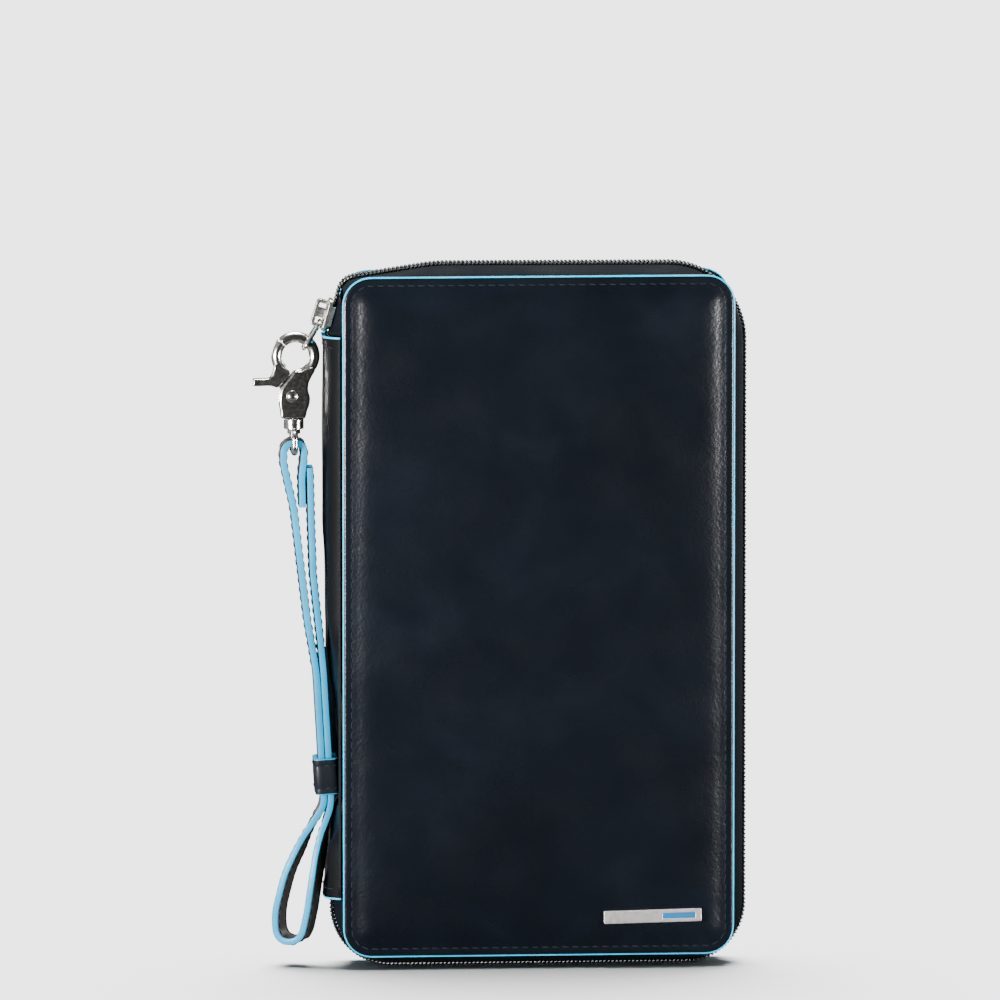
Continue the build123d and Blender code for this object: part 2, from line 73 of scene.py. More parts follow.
# ---------------------------------------------------------------- mesh helpers
def new_object(name, data):
    """An object linked to the scene."""
    obj = bpy.data.objects.new(name, data)
    bpy.context.scene.collection.objects.link(obj)
    return obj


def mesh_of(name, points, faces):
    """A mesh from points in millimetres."""
    mesh = bpy.data.meshes.new(name)
    mesh.from_pydata([Vector(point) * MM for point in points], [], faces)
    return mesh


def set_material(mesh, material):
    """Gives a mesh one material in place of any it had."""
    mesh.materials.clear()
    mesh.materials.append(material)


def make_object(name, points, faces, material, body, slot, node=None, smooth=True, indices=None):
    """A mesh object riding on a body, in place of a CAD node; indices pick a listed material by face."""
    mesh = bpy.data.meshes.new(name)
    mesh.from_pydata([(x * MM, y * MM, z * MM) for x, y, z in points], [], faces)
    mesh.validate()
    materials = material if isinstance(material, list) else [material]
    for item in materials:
        mesh.materials.append(item)
    if indices:
        mesh.polygons.foreach_set("material_index", indices)
    fix_normals(mesh)
    obj = new_object(name, mesh)
    if smooth:
        shade_smooth(obj)
    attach(obj, body)
    if node:
        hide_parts(node)
    return obj


def fix_normals(mesh):
    """Faces of each closed shell point outwards."""
    work = bmesh.new()
    work.from_mesh(mesh)
    bmesh.ops.recalc_face_normals(work, faces=work.faces)
    work.to_mesh(mesh)
    work.free()


def shade_smooth(obj, angle=40):
    """Smooth shading with sharp edges kept where faces meet steeply."""
    mesh = obj.data
    mesh.polygons.foreach_set("use_smooth", [True] * len(mesh.polygons))
    mesh.set_sharp_from_angle(angle=math.radians(angle))


def shape_of(mesh):
    """A mesh's points in millimetres and its faces."""
    points = [tuple(vertex.co / MM) for vertex in mesh.vertices]
    return points, [tuple(face.vertices) for face in mesh.polygons]


def bake(obj):
    """Applies every modifier to the object's mesh."""
    depsgraph = bpy.context.evaluated_depsgraph_get()
    mesh = bpy.data.meshes.new_from_object(obj.evaluated_get(depsgraph))
    obj.modifiers.clear()
    obj.data = mesh


def tube(rings, closed):
    """Points and faces of equal rings joined up; the ends are capped unless the list closes on itself."""
    points = [point for ring in rings for point in ring]
    size = len(rings[0])
    count = len(rings)
    faces = []
    for i in range(count if closed else count - 1):
        a, b = i * size, (i + 1) % count * size
        faces += [(a + k, a + (k + 1) % size, b + (k + 1) % size, b + k) for k in range(size)]
    if not closed:
        faces += [tuple(range(size)), tuple((count - 1) * size + k for k in reversed(range(size)))]
    return points, faces


def grid_faces(wide, tall):
    """Faces of a grid whose points are listed row by row."""
    return [(r * wide + c, r * wide + c + 1, (r + 1) * wide + c + 1, (r + 1) * wide + c)
            for r in range(tall - 1) for c in range(wide - 1)]


def merge(parts):
    """One list of points and faces from several."""
    points, faces = [], []
    for part_points, part_faces in parts:
        start = len(points)
        points += part_points
        faces += [tuple(start + k for k in face) for face in part_faces]
    return points, faces


def blend_value(low, high, value):
    """0 at low, 1 at high, easing in and out."""
    t = min(max((value - low) / (high - low), 0.0), 1.0)
    return t * t * (3 - 2 * t)


def through(table, value):
    """A smooth reading between listed (position, amount) pairs."""
    if value <= table[0][0]:
        return table[0][1]
    for (x0, y0), (x1, y1) in zip(table, table[1:]):
        if value <= x1:
            return y0 + (y1 - y0) * blend_value(x0, x1, value)
    return table[-1][1]


# ---------------------------------------------------------------- outlines in the X-Z plane
def rounded_outline(corners, arc_steps=10, run_step=4.0):
    """Points round a closed outline; every corner is an arc of its radius."""
    count = len(corners)
    arcs = []
    for i, (corner, radius) in enumerate(corners):
        at = Vector(corner)
        before = Vector(corners[i - 1][0]) - at
        after = Vector(corners[(i + 1) % count][0]) - at
        arcs.append(corner_arc(at, before, after, radius, arc_steps))
    points = []
    for i, arc in enumerate(arcs):
        points += arc
        nearby = (Vector(corners[i][0]) - Vector(corners[(i + 1) % count][0])).length
        steps = max(2, int(nearby / run_step))
        start, end = arc[-1], arcs[(i + 1) % count][0]
        points += [start.lerp(end, k / steps) for k in range(1, steps)]
    return points


def corner_arc(at, before, after, radius, steps):
    """An arc that rounds one corner."""
    before, after = before.normalized(), after.normalized()
    half_angle = before.angle(after) / 2
    reach = radius / math.tan(half_angle)
    centre = at + (before + after).normalized() * (radius / math.sin(half_angle))
    start, end = at + before * reach - centre, at + after * reach - centre
    sweep = math.pi - 2 * half_angle
    turn = math.copysign(sweep, start.x * end.y - start.y * end.x)
    arc = []
    for k in range(steps + 1):
        a = turn * k / steps
        arc.append(centre + Vector((start.x * math.cos(a) - start.y * math.sin(a),
                                    start.x * math.sin(a) + start.y * math.cos(a))))
    return arc


def cover_loop(inset, half=(HALF_WIDTH, HALF_HEIGHT), middle=(0.0, MID_HEIGHT), corner=CORNER):
    """A rounded rectangle drawn in by inset; the cover's own unless another is given."""
    x, z = half[0] - inset, half[1] - inset
    radius = max(corner - inset, 1.0)
    return rounded_outline([((middle[0] + right * x, middle[1] + up * z), radius)
                            for right, up in ((1, -1), (1, 1), (-1, 1), (-1, -1))])


def evenly(points, pitch, closed=True):
    """Points about a pitch apart along a line, each with its direction."""
    line = points + [points[0]] if closed else points
    lengths = [(b - a).length for a, b in zip(line, line[1:])]
    total = sum(lengths)
    count = max(1, round(total / pitch))
    found = []
    run, i = 0.0, 0
    for k in range(count if closed else count + 1):
        target = total * k / count
        while i < len(lengths) - 1 and run + lengths[i] < target:
            run += lengths[i]
            i += 1
        a, b = line[i], line[i + 1]
        share = (target - run) / lengths[i] if lengths[i] else 0.0
        found.append((a.lerp(b, min(share, 1.0)), (b - a).normalized()))
    return found


# ---------------------------------------------------------------- materials
# ribs that a wave texture of scale 1 draws in one unit
BANDS_PER_UNIT = 3.183


def nodes_of(name):
    """A new node material: its tree, shader and a texture coordinate."""
    material = bpy.data.materials.new(name)
    material.use_nodes = True
    tree = material.node_tree
    shader = next(node for node in tree.nodes if node.type == "BSDF_PRINCIPLED")
    place = tree.nodes.new("ShaderNodeTexCoord")
    return material, tree, shader, place.outputs["Object"]


def noise_field(tree, place, size, detail=3.0, roughness=0.5, distortion=0.0):
    """Noise whose features are about size millimetres across."""
    node = tree.nodes.new("ShaderNodeTexNoise")
    node.inputs["Scale"].default_value = 1000.0 / size
    node.inputs["Detail"].default_value = detail
    node.inputs["Roughness"].default_value = roughness
    node.inputs["Distortion"].default_value = distortion
    tree.links.new(place, node.inputs["Vector"])
    return node.outputs["Fac"]


def cell_field(tree, place, size):
    """Cells about size millimetres across, as in leather grain."""
    node = tree.nodes.new("ShaderNodeTexVoronoi")
    node.inputs["Scale"].default_value = 1000.0 / size
    tree.links.new(place, node.inputs["Vector"])
    return node.outputs["Distance"]


def wave_field(tree, place, pitch, direction, distortion):
    """Parallel ribs of a pitch in millimetres across one axis."""
    node = tree.nodes.new("ShaderNodeTexWave")
    node.wave_type = "BANDS"
    node.bands_direction = direction
    node.inputs["Scale"].default_value = 1000.0 / pitch / BANDS_PER_UNIT
    node.inputs["Distortion"].default_value = distortion
    node.inputs["Detail"].default_value = 1.0
    tree.links.new(place, node.inputs["Vector"])
    return node.outputs["Fac"]


def roughen(tree, shader, field, low, high, first, last):
    """Roughness between first and last as a field runs from low to high."""
    node = tree.nodes.new("ShaderNodeMapRange")
    for key, value in zip(("From Min", "From Max", "To Min", "To Max"), (low, high, first, last)):
        node.inputs[key].default_value = value
    tree.links.new(field, node.inputs["Value"])
    tree.links.new(node.outputs["Result"], shader.inputs["Roughness"])


def shades(tree, field, stops):
    """Colours along a field."""
    node = tree.nodes.new("ShaderNodeValToRGB")
    ramp = node.color_ramp
    while len(ramp.elements) < len(stops):
        ramp.elements.new(0.5)
    for element, (position, colour) in zip(ramp.elements, stops):
        element.position = position
        element.color = (*colour, 1.0)
    tree.links.new(field, node.inputs["Fac"])
    return node.outputs["Color"]


def tint(tree, shader, field, colour, dark, light):
    """A base colour between a darker and a lighter version along a field."""
    stops = [(0.3, tone(colour, dark)), (0.7, tone(colour, light))]
    tree.links.new(shades(tree, field, stops), shader.inputs["Base Color"])


def bump_chain(tree, shader, layers):
    """Bumps laid over each other: pairs of a height field and its depth in millimetres."""
    normal = None
    for field, depth in layers:
        node = tree.nodes.new("ShaderNodeBump")
        node.inputs["Strength"].default_value = 1.0
        node.inputs["Distance"].default_value = depth * MM
        tree.links.new(field, node.inputs["Height"])
        if normal:
            tree.links.new(normal, node.inputs["Normal"])
        normal = node.outputs["Normal"]
    tree.links.new(normal, shader.inputs["Normal"])


def tone(colour, factor):
    """A colour made lighter or darker."""
    return tuple(channel * factor for channel in colour)


def leather(name, colour, gloss=0.26, grain=0.085, wave=0.5, level=0.3):
    """Smooth polished calf: cloudy shading, fine pores, hair creases and slow waves."""
    material, tree, shader, place = nodes_of(name)
    cloud = noise_field(tree, place, 38, 4, 0.55, 0.6)
    stops = [(0.30, tone(colour, 0.8)), (0.52, colour), (0.72, tone(colour, 1.4))]
    tree.links.new(shades(tree, cloud, stops), shader.inputs["Base Color"])
    rub = noise_field(tree, place, 16, 2, 0.45)
    roughen(tree, shader, rub, 0.15, 0.85, gloss - 0.04, gloss + 0.06)
    pores = cell_field(tree, place, 0.95)
    crease = noise_field(tree, place, 2.2, 4, 0.55)
    slow = noise_field(tree, place, 30, 2, 0.45)
    bump_chain(tree, shader, [(slow, wave), (crease, grain), (pores, grain * 0.35)])
    shader.inputs["Specular IOR Level"].default_value = level
    shader.inputs["Coat Weight"].default_value = 0.06
    shader.inputs["Coat Roughness"].default_value = 0.22
    return material


def paint(name, colour, gloss=0.38):
    """Thick edge paint, a little uneven along the edge."""
    material, tree, shader, place = nodes_of(name)
    uneven = noise_field(tree, place, 9, 4)
    tint(tree, shader, uneven, colour, 0.86, 1.08)
    rub = noise_field(tree, place, 2.4, 3)
    roughen(tree, shader, rub, 0.3, 0.7, gloss - 0.06, gloss + 0.1)
    bump_chain(tree, shader, [(uneven, 0.08), (rub, 0.02)])
    shader.inputs["Specular IOR Level"].default_value = 0.2
    return material


def woven(name, colour, pitch=0.7, gloss=0.75):
    """Fine woven tape or lining cloth."""
    material, tree, shader, place = nodes_of(name)
    cloud = noise_field(tree, place, 12, 4)
    tint(tree, shader, cloud, colour, 0.8, 1.2)
    roughen(tree, shader, cloud, 0.3, 0.7, gloss - 0.08, gloss + 0.08)
    across = wave_field(tree, place, pitch, "DIAGONAL", 0.4)
    along = wave_field(tree, place, pitch, "Y", 0.4)
    fluff = noise_field(tree, place, 0.5, 2)
    bump_chain(tree, shader, [(across, 0.06), (along, 0.05), (fluff, 0.03)])
    shader.inputs["Specular IOR Level"].default_value = 0.06
    return material


def nylon(name, colour):
    """The zip's moulded coil."""
    material, tree, shader, place = nodes_of(name)
    cloud = noise_field(tree, place, 2.5, 3)
    tint(tree, shader, cloud, colour, 0.7, 1.3)
    roughen(tree, shader, cloud, 0.3, 0.7, 0.3, 0.42)
    bump_chain(tree, shader, [(noise_field(tree, place, 0.4, 2), 0.015)])
    return material


def metal(name, colour, gloss=0.14, brushed=False):
    """Plated metal with faint scratches and slight waves from polishing."""
    material, tree, shader, place = nodes_of(name)
    shader.inputs["Metallic"].default_value = 1.0
    cloud = noise_field(tree, place, 6, 3)
    tint(tree, shader, cloud, colour, 0.93, 1.04)
    rub = noise_field(tree, place, 1.2, 5, 0.7)
    roughen(tree, shader, rub, 0.3, 0.75, gloss, gloss + 0.12)
    layers = [(noise_field(tree, place, 3.5, 2), 0.02), (rub, 0.004)]
    if brushed:
        layers.append((wave_field(tree, place, 0.25, "Z", 4.0), 0.004))
    bump_chain(tree, shader, layers)
    return material


def board(name, colour):
    """Pressed fibre board, seen only in section."""
    material, tree, shader, place = nodes_of(name)
    fibre = noise_field(tree, place, 0.9, 6, 0.7)
    tint(tree, shader, fibre, colour, 0.7, 1.2)
    roughen(tree, shader, fibre, 0.2, 0.8, 0.75, 0.95)
    bump_chain(tree, shader, [(fibre, 0.1)])
    return material


NAVY = (0.0019, 0.0029, 0.0050)
LEATHER = leather("navy_leather", NAVY)
SPINE_LEATHER = leather("spine_leather_finish", tone(NAVY, 1.2), gloss=0.46, grain=0.08, wave=0.3)
STRAP_FACE = leather("strap_face_leather", (0.045, 0.040, 0.036), gloss=0.5, grain=0.06, wave=0.05,
                     level=0.15)
POCKET_LEATHER = leather("pocket_leather", tone(NAVY, 1.4), gloss=0.5, grain=0.07, wave=0.1, level=0.15)
BLUE = paint("blue_edge", (0.006, 0.30, 0.47))
STRAP_BLUE = paint("strap_blue", (0.0, 0.185, 0.33))
THREAD = woven("thread", (0.008, 0.011, 0.015), pitch=0.25, gloss=0.7)
TAPE = woven("zip_tape", (0.0016, 0.0026, 0.0046))
LINING = woven("lining_cloth", (0.03, 0.036, 0.048), pitch=0.5)
COIL = nylon("zip_coil", (0.0035, 0.005, 0.008))
NICKEL = metal("nickel", (0.66, 0.64, 0.61))
SATIN = metal("satin_nickel", (0.62, 0.60, 0.56), gloss=0.24)
SPRING = metal("spring_steel", (0.5, 0.5, 0.5), gloss=0.25, brushed=True)
PLATE = metal("plate_steel", (0.95, 0.92, 0.88), gloss=0.38, brushed=True)
INLAY = paint("inlay_blue", (0.0, 0.09, 0.22), gloss=0.5)
BOARD = board("board", (0.35, 0.28, 0.2))


# ---------------------------------------------------------------- padded covers
# how far the leather's face is from the zip's mid-plane, by distance from the cover's edge
COVER_PROFILE = [(0.45, 10.9), (0.8, 11.4), (1.5, 11.45), (2.2, 11.45), (2.7, 11.4), (3.0, 11.3),
                 (3.3, 11.4), (3.9, 11.5), (4.8, 11.65), (5.8, 11.95), (7.0, 12.3), (8.5, 12.6),
                 (10.5, 12.8), (13.5, 12.9)]
BORDER_STEPS = [inset for inset, _ in COVER_PROFILE]
GRID_RUN = 4.2
LEATHER_BACK = 10.2
# the border that the pressure cloth holds still, how far the middle may swell, and how long it settles
HELD_BORDER = 5.0
MOST_SWELL = 1.1
SETTLE_STEPS = 20
# the painted edge: how far in and how far forward its middle lies, and its half sizes
BEAD_INSET = 0.38
BEAD_Y = 10.82
BEAD_HALF_THICK = 0.28
BEAD_HALF_DEEP = 0.78
SEAM_Y = 11.25


def grid_lines(half):
    """Lines from one side to the other: close together over the sewn border, then about 4 mm apart."""
    rest = half - BORDER_STEPS[-1]
    count = round(rest / GRID_RUN)
    steps = BORDER_STEPS + [BORDER_STEPS[-1] + rest * (k + 1) / count for k in range(count)]
    left = [step - half for step in steps]
    return left + [-x for x in reversed(left[:-1])]


def eased_corner(x, z, middle, half, radius):
    """Moves a grid point of a rectangle so that its square corners become arcs."""
    flat_x, flat_z = half[0] - radius, half[1] - radius
    dx, dz = abs(x - middle[0]) - flat_x, abs(z - middle[1]) - flat_z
    if dx <= 0 or dz <= 0:
        return x, z
    share = max(dx, dz) / math.hypot(dx, dz)
    return (middle[0] + math.copysign(flat_x + dx * share, x - middle[0]),
            middle[1] + math.copysign(flat_z + dz * share, z - middle[1]))


def cover_sheet():
    """The front leather's face as a grid, and how far each point is from the edge."""
    xs, zs = grid_lines(HALF_WIDTH), grid_lines(HALF_HEIGHT)
    points, insets = [], []
    for z in zs:
        for x in xs:
            inset = min(HALF_WIDTH - abs(x), HALF_HEIGHT - abs(z))
            rx, rz = eased_corner(x, z, (0.0, 0.0), (HALF_WIDTH, HALF_HEIGHT), CORNER)
            points.append((rx, -through(COVER_PROFILE, inset), rz + MID_HEIGHT))
            insets.append(inset)
    return points, grid_faces(len(xs), len(zs)), insets


def inflate(points, faces, insets):
    """Swells the padded middle with a pressure cloth that is held at the sewn border."""
    mesh = mesh_of("pad", points, faces)
    obj = new_object("pad", mesh)
    held = obj.vertex_groups.new(name="held")
    held.add([i for i, inset in enumerate(insets) if inset < HELD_BORDER], 1.0, "REPLACE")
    cloth = obj.modifiers.new("Cloth", "CLOTH")
    cloth.settings.vertex_group_mass = "held"
    cloth.settings.quality = 6
    cloth.settings.mass = 0.3
    cloth.settings.tension_stiffness = 25
    cloth.settings.bending_stiffness = 6
    cloth.settings.use_pressure = True
    cloth.settings.uniform_pressure_force = 4
    cloth.settings.effector_weights.gravity = 0
    for step in range(1, SETTLE_STEPS + 1):
        bpy.context.scene.frame_set(step)
    settled = obj.evaluated_get(bpy.context.evaluated_depsgraph_get()).data
    moves = [settled.vertices[i].co / MM - Vector(p) for i, p in enumerate(points)]
    longest = max(move.length for move in moves)
    share = min(1.0, MOST_SWELL / max(longest, 1e-6))
    bpy.context.scene.frame_set(1)
    bpy.data.objects.remove(obj)
    bpy.data.meshes.remove(mesh)
    return [tuple(Vector(p) + move * share) for p, move in zip(points, moves)]


def finer(points, faces):
    """The sheet with one subdivision, in millimetres."""
    obj = new_object("sheet", mesh_of("sheet", points, faces))
    smooth = obj.modifiers.new("smooth", "SUBSURF")
    smooth.levels = smooth.render_levels = 1
    bake(obj)
    shape = shape_of(obj.data)
    bpy.data.objects.remove(obj)
    return shape


def close_sheet(points, faces, depth):
    """Adds the cut edge and a back at Y = depth to a sheet."""
    ahead = {}
    inner = {tuple(reversed(edge)) for face in faces for edge in zip(face, face[1:] + face[:1])}
    for face in faces:
        for a, b in zip(face, face[1:] + face[:1]):
            if (a, b) not in inner:
                ahead[a] = b
    rim = [next(iter(ahead))]
    while ahead[rim[-1]] != rim[0]:
        rim.append(ahead[rim[-1]])
    start, count = len(points), len(rim)
    back = [(points[i][0], depth, points[i][2]) for i in rim]
    walls = [(rim[(k + 1) % count], rim[k], start + k, start + (k + 1) % count)
             for k in range(count)]
    return points + back, faces + walls + [tuple(range(start, start + count))]


def mirrored(points):
    """The same points on the back half."""
    return [(x, -y, z) for x, y, z in points]


def covers():
    """The two padded leather covers; the back one is the front one's mirror image."""
    points, faces, insets = cover_sheet()
    points = inflate(points, faces, insets)
    points, faces = close_sheet(*finer(points, faces), -LEATHER_BACK)
    for side, shape in (("front", points), ("back", mirrored(points))):
        cover = make_object(side + "_padded_leather", shape, faces, LEATHER, side + "_cover",
                            "navy_leather")
        shade_smooth(cover, 60)
        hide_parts(side + "_cover_leather", side + "_foam_pad")


def edge_beads():
    """The painted edges of the covers: a thick rounded bead with slight unevenness."""
    loop = [at for at, _ in evenly(cover_loop(BEAD_INSET), 2.0)]
    for side, sign in SIDES:
        rings = [bead_ring(loop, i, sign) for i in range(len(loop))]
        make_object(side + "_painted_edge", *tube(rings, True), BLUE, side + "_cover", "blue_edge",
                    side + "_edge_paint")


def bead_ring(loop, i, sign):
    """One section of an edge bead."""
    along = (loop[(i + 1) % len(loop)] - loop[i - 1]).normalized()
    out = Vector((along.y, -along.x))
    swell = 1.0 + 0.10 * noise.noise(Vector((loop[i].x, loop[i].y, 0)) * 0.12)
    ring = []
    for k in range(12):
        a = 2 * math.pi * k / 12
        u = BEAD_HALF_THICK * swell * math.copysign(abs(math.cos(a)) ** 0.8, math.cos(a))
        v = BEAD_HALF_DEEP * math.copysign(abs(math.sin(a)) ** 0.8, math.sin(a))
        ring.append((loop[i].x + out.x * u, sign * (BEAD_Y + v), loop[i].y + out.y * u))
    return ring


# ---------------------------------------------------------------- stitches
THREAD_RADIUS = 0.26
STITCH_LENGTH = 2.5
# along a stitch, from -1 to 1, and the thread's share of its full width there
STITCH_TAPER = [(-1.0, 0.5), (-0.78, 0.9), (-0.3, 1.0), (0.3, 1.0), (0.78, 0.9), (1.0, 0.5)]


def stitch(at, along, up):
    """One stitch: a short thread that rises out of the leather and dives back in."""
    side = along.cross(up)
    rings = []
    for t, width in STITCH_TAPER:
        rise = THREAD_RADIUS * (0.45 - 0.5 * abs(t) ** 3 * 2.2)
        middle = at + along * (t * STITCH_LENGTH / 2) + up * rise
        ring = []
        for k in range(6):
            a = 2 * math.pi * k / 6
            ring.append(tuple(middle + side * (THREAD_RADIUS * width * math.cos(a))
                              + up * (THREAD_RADIUS * width * math.sin(a))))
        rings.append(ring)
    return tube(rings, False)


def sew(name, places, body):
    """A row of stitches; places are (point, direction, surface normal)."""
    points, faces = merge([stitch(at, along, up) for at, along, up in places])
    make_object(name, points, faces, THREAD, body, "navy_leather")


def cover_stitches():
    """The seam all round each cover, each stitch set slightly across the line."""
    for side, sign in SIDES:
        places = []
        for at, along in evenly(cover_loop(STITCH_INSET), STITCH_PITCH):
            direction = Vector((along.x, 0, along.y))
            slant = Vector((along.y, 0, -along.x)) * 0.06
            places.append((Vector((at.x, sign * SEAM_Y, at.y)), (direction + slant).normalized(),
                           Vector((0, sign, 0))))
        sew(side + "_cover_stitches", places, side + "_cover")


# ---------------------------------------------------------------- zip
# across the tape: the share of the way from the leather to the coil, and the distance from the mid-plane
TAPE_SECTION = [(0.0, 10.1), (0.10, 9.7), (0.34, 8.7), (0.62, 7.2), (0.84, 5.6), (0.96, 4.3), (1.0, 3.2),
                (1.0, 1.8), (1.0, 0.25)]
# how the tape's outline lies inside the coil's at each corner
TAPE_SHIFTS = [(-1.3, 1.3), (-1.3, -1.3), (0, -1.3), (1.0, -1.3), (1.3, 0), (1.3, 0), (1.3, 1.3)]
TAPE_THICK = 0.5
# the coil: steps in a turn, its half depth and half width, and where its middle lies
COIL_STEPS = 10
COIL_DEEP = 0.44
COIL_WIDE = 1.32
COIL_SINK = -0.72
COIL_Y = 1.42
# the stretch of coil that is out of sight inside the slider
SLIDER_LOW = 209.5
SLIDER_HIGH = 218.3


def share_of(points, part):
    """Indices of the loop's points that belong to one part, in running order."""
    count = len(points)
    chosen = [i for i in range(count) if part(points[i])]
    start = next(k for k in range(len(chosen)) if (chosen[k] - 1) % count not in set(chosen))
    return chosen[start:] + chosen[:start]


def on_cover(point):
    """True for the stretch of chain that swings with a cover."""
    return point.x >= HINGE_X


def on_upper_end(point):
    """True for the stretch between the hinge line and the upper tuck."""
    return point.x <= HINGE_X + 0.6 and point.y > 201.0


def on_lower_end(point):
    """True for the stretch between the hinge line and the lower tuck."""
    return point.x <= HINGE_X + 0.9 and point.y < 30.0


ENDS = (("upper", on_upper_end), ("lower", on_lower_end))


def tape_rings(indices, foot, chain, sign):
    """Sections of the tape from under the leather to under the coil, with its inner face."""
    rings = []
    for i in indices:
        outer = [foot[i].lerp(chain[i], t) for t, _ in TAPE_SECTION]
        ring = [(p.x, sign * y, p.y) for p, (_, y) in zip(outer, TAPE_SECTION)]
        middle = Vector((0.0, MID_HEIGHT))
        for p, (_, y) in reversed(list(zip(outer, TAPE_SECTION))):
            inward = (middle - p).normalized() * TAPE_THICK
            ring.append((p.x + inward.x, sign * y, p.y + inward.y))
        rings.append(ring)
    return rings


def tapes():
    """Zip tape, in the shares that swing with the covers and the ends that stay on the spine."""
    foot = rounded_outline(TAPE_FOOT)
    corners = [((x + shift_x, z + shift_z), max(radius - 1.3, 4))
               for ((x, z), radius), (shift_x, shift_z) in zip(CHAIN, TAPE_SHIFTS)]
    chain = rounded_outline(corners)
    if len(foot) != len(chain):
        foot, chain = matched(foot, chain)
    for side, sign in SIDES:
        rings = tape_rings(share_of(chain, on_cover), foot, chain, sign)
        make_object(side + "_woven_tape", *tube(rings, False), TAPE, side + "_cover", "zip_tape",
                    side + "_zip_tape")
    for end, part in ENDS:
        run = share_of(chain, part)
        parts = [tube(tape_rings(run, foot, chain, sign), False) for sign in (-1, 1)]
        make_object(end + "_woven_tape", *merge(parts), TAPE, "spine", "zip_tape", end + "_tape_end")


def matched(first, second):
    """The two outlines with equal numbers of points, spaced alike."""
    count = max(len(first), len(second))
    pairs = []
    for line in (first, second):
        length = sum((line[i] - line[i - 1]).length for i in range(len(line)))
        pairs.append([at for at, _ in evenly(line, length / count)][:count])
    return pairs


def coil_line():
    """The middle of the coil all round, closely spaced, each point with its outward direction."""
    loop = rounded_outline(CHAIN, arc_steps=40, run_step=2.0)
    line = evenly(loop, COIL_PITCH / COIL_STEPS)
    return [(at, Vector((along.y, -along.x))) for at, along in line]


def coil_wire(line, indices, sign, phase):
    """A helix of nylon wire, flattened against the tape."""
    rings = []
    for i in indices:
        at, out = line[i]
        turn = 2 * math.pi * i / COIL_STEPS + phase
        depth = COIL_SINK + COIL_DEEP * math.cos(turn)
        reach = COIL_Y + COIL_WIDE * math.sin(turn)
        middle = Vector((at.x + out.x * depth, sign * reach, at.y + out.y * depth))
        ahead = Vector((-out.y, 0, out.x)) * (COIL_PITCH / COIL_STEPS)
        swing = 2 * math.pi / COIL_STEPS
        ahead += Vector((-out.x * COIL_DEEP * math.sin(turn) * swing,
                         sign * COIL_WIDE * math.cos(turn) * swing,
                         -out.y * COIL_DEEP * math.sin(turn) * swing))
        ahead.normalize()
        first = ahead.cross(Vector((out.x, 0, out.y))).normalized()
        second = ahead.cross(first)
        rings.append([tuple(middle + first * (0.36 * math.cos(a)) + second * (0.33 * math.sin(a)))
                      for a in (2 * math.pi * k / 6 for k in range(6))])
    return tube(rings, False)


def coils():
    """Both coils of the zip, their teeth set half a pitch apart so that they mesh."""
    line = coil_line()
    points = [at for at, _ in line]
    for side, sign, phase in (("front", -1, 0.0), ("back", 1, math.pi)):
        wire = coil_wire(line, share_of(points, on_cover), sign, phase)
        make_object(side + "_coil", *wire, COIL, side + "_cover", "zip_coil", side + "_zip_coil")
    for end, part in ENDS:
        run = [i for i in share_of(points, part) if not in_slider(points[i])]
        wires = [coil_wire(line, run, sign, phase) for sign, phase in ((-1, 0.0), (1, math.pi))]
        make_object(end + "_coil", *merge(wires), COIL, "spine", "zip_coil", end + "_coil_end")


def in_slider(point):
    """True where the coil is out of sight inside the slider."""
    return SLIDER_LOW < point.y < SLIDER_HIGH and point.x < -60


# ---------------------------------------------------------------- spine
SPINE_FOOT_X = -65.8
SPINE_HALF = 11.1
SPINE_LOW = 23.5
SPINE_HIGH = 209.0
# height and how far the spine's rounded back stands out where it is free
SPINE_BULGE = [(23.5, 5.1), (29.0, 4.7), (60.0, 4.6), (120.0, 4.6), (180.0, 4.5), (205.0, 4.3),
               (209.0, 4.9)]
# the same where the strap and its keeper press it in, and how deep the strap's groove is elsewhere
PRESSED_BULGE = [(38.0, 3.4), (47.0, 2.0), (53.0, 0.8), (57.0, -1.4), (72.0, -1.4), (80.0, -0.2),
                 (88.0, 0.7), (98.0, 2.4), (108.0, 3.4), (125.0, 4.2)]
STRAP_GROOVE = [(26.0, 0.5), (34.0, 1.9), (44.0, 3.0), (60.0, 3.0), (104.0, 2.6), (114.0, 2.1),
                (125.0, 1.3), (150.0, 0.0)]


def spine_x(z, y, depth):
    """X of the spine leather at a height and a distance across, depth inwards from its face."""
    across = abs(y) / SPINE_HALF
    pressed = blend_value(39.0, 47.0, z) * (1 - blend_value(101.0, 118.0, z))
    free = through(SPINE_BULGE, z) * (1 - across ** 4.5)
    free -= through(STRAP_GROOVE, z) * (1 - blend_value(5.0, 8.6, abs(y)))
    pressed *= 1 - blend_value(7.2, 8.4, y)
    bulge = free + (through(PRESSED_BULGE, z) * (1 - across ** 2) - free) * pressed
    ripple = (0.2 * noise.noise(Vector((y * 0.16, z * 0.05, 3.0)))
              + 0.06 * noise.noise(Vector((y * 0.5, z * 0.3, 9.0))))
    return SPINE_FOOT_X - bulge + depth * (1 - 0.4 * across ** 2) + ripple * max(0.0, 1 - across)


def spine_strip(low, high, depth_out, depth_in, half=SPINE_HALF):
    """A closed strip of the spine between two heights."""
    across = [half * math.sin(math.pi / 2 * k / 18) for k in range(-18, 19)]
    tall = max(2, round((high - low) / 2.0))
    rings = []
    for r in range(tall + 1):
        z = low + (high - low) * r / tall
        pinch = 0.0 if 0 < r < tall else 0.12
        outer = [(spine_x(z, y, depth_out + pinch), y * (1 - pinch * 0.02), z) for y in across]
        inner = [(spine_x(z, y, depth_in), y * 0.985, z) for y in reversed(across)]
        rings.append(outer + inner)
    return tube(rings, False)


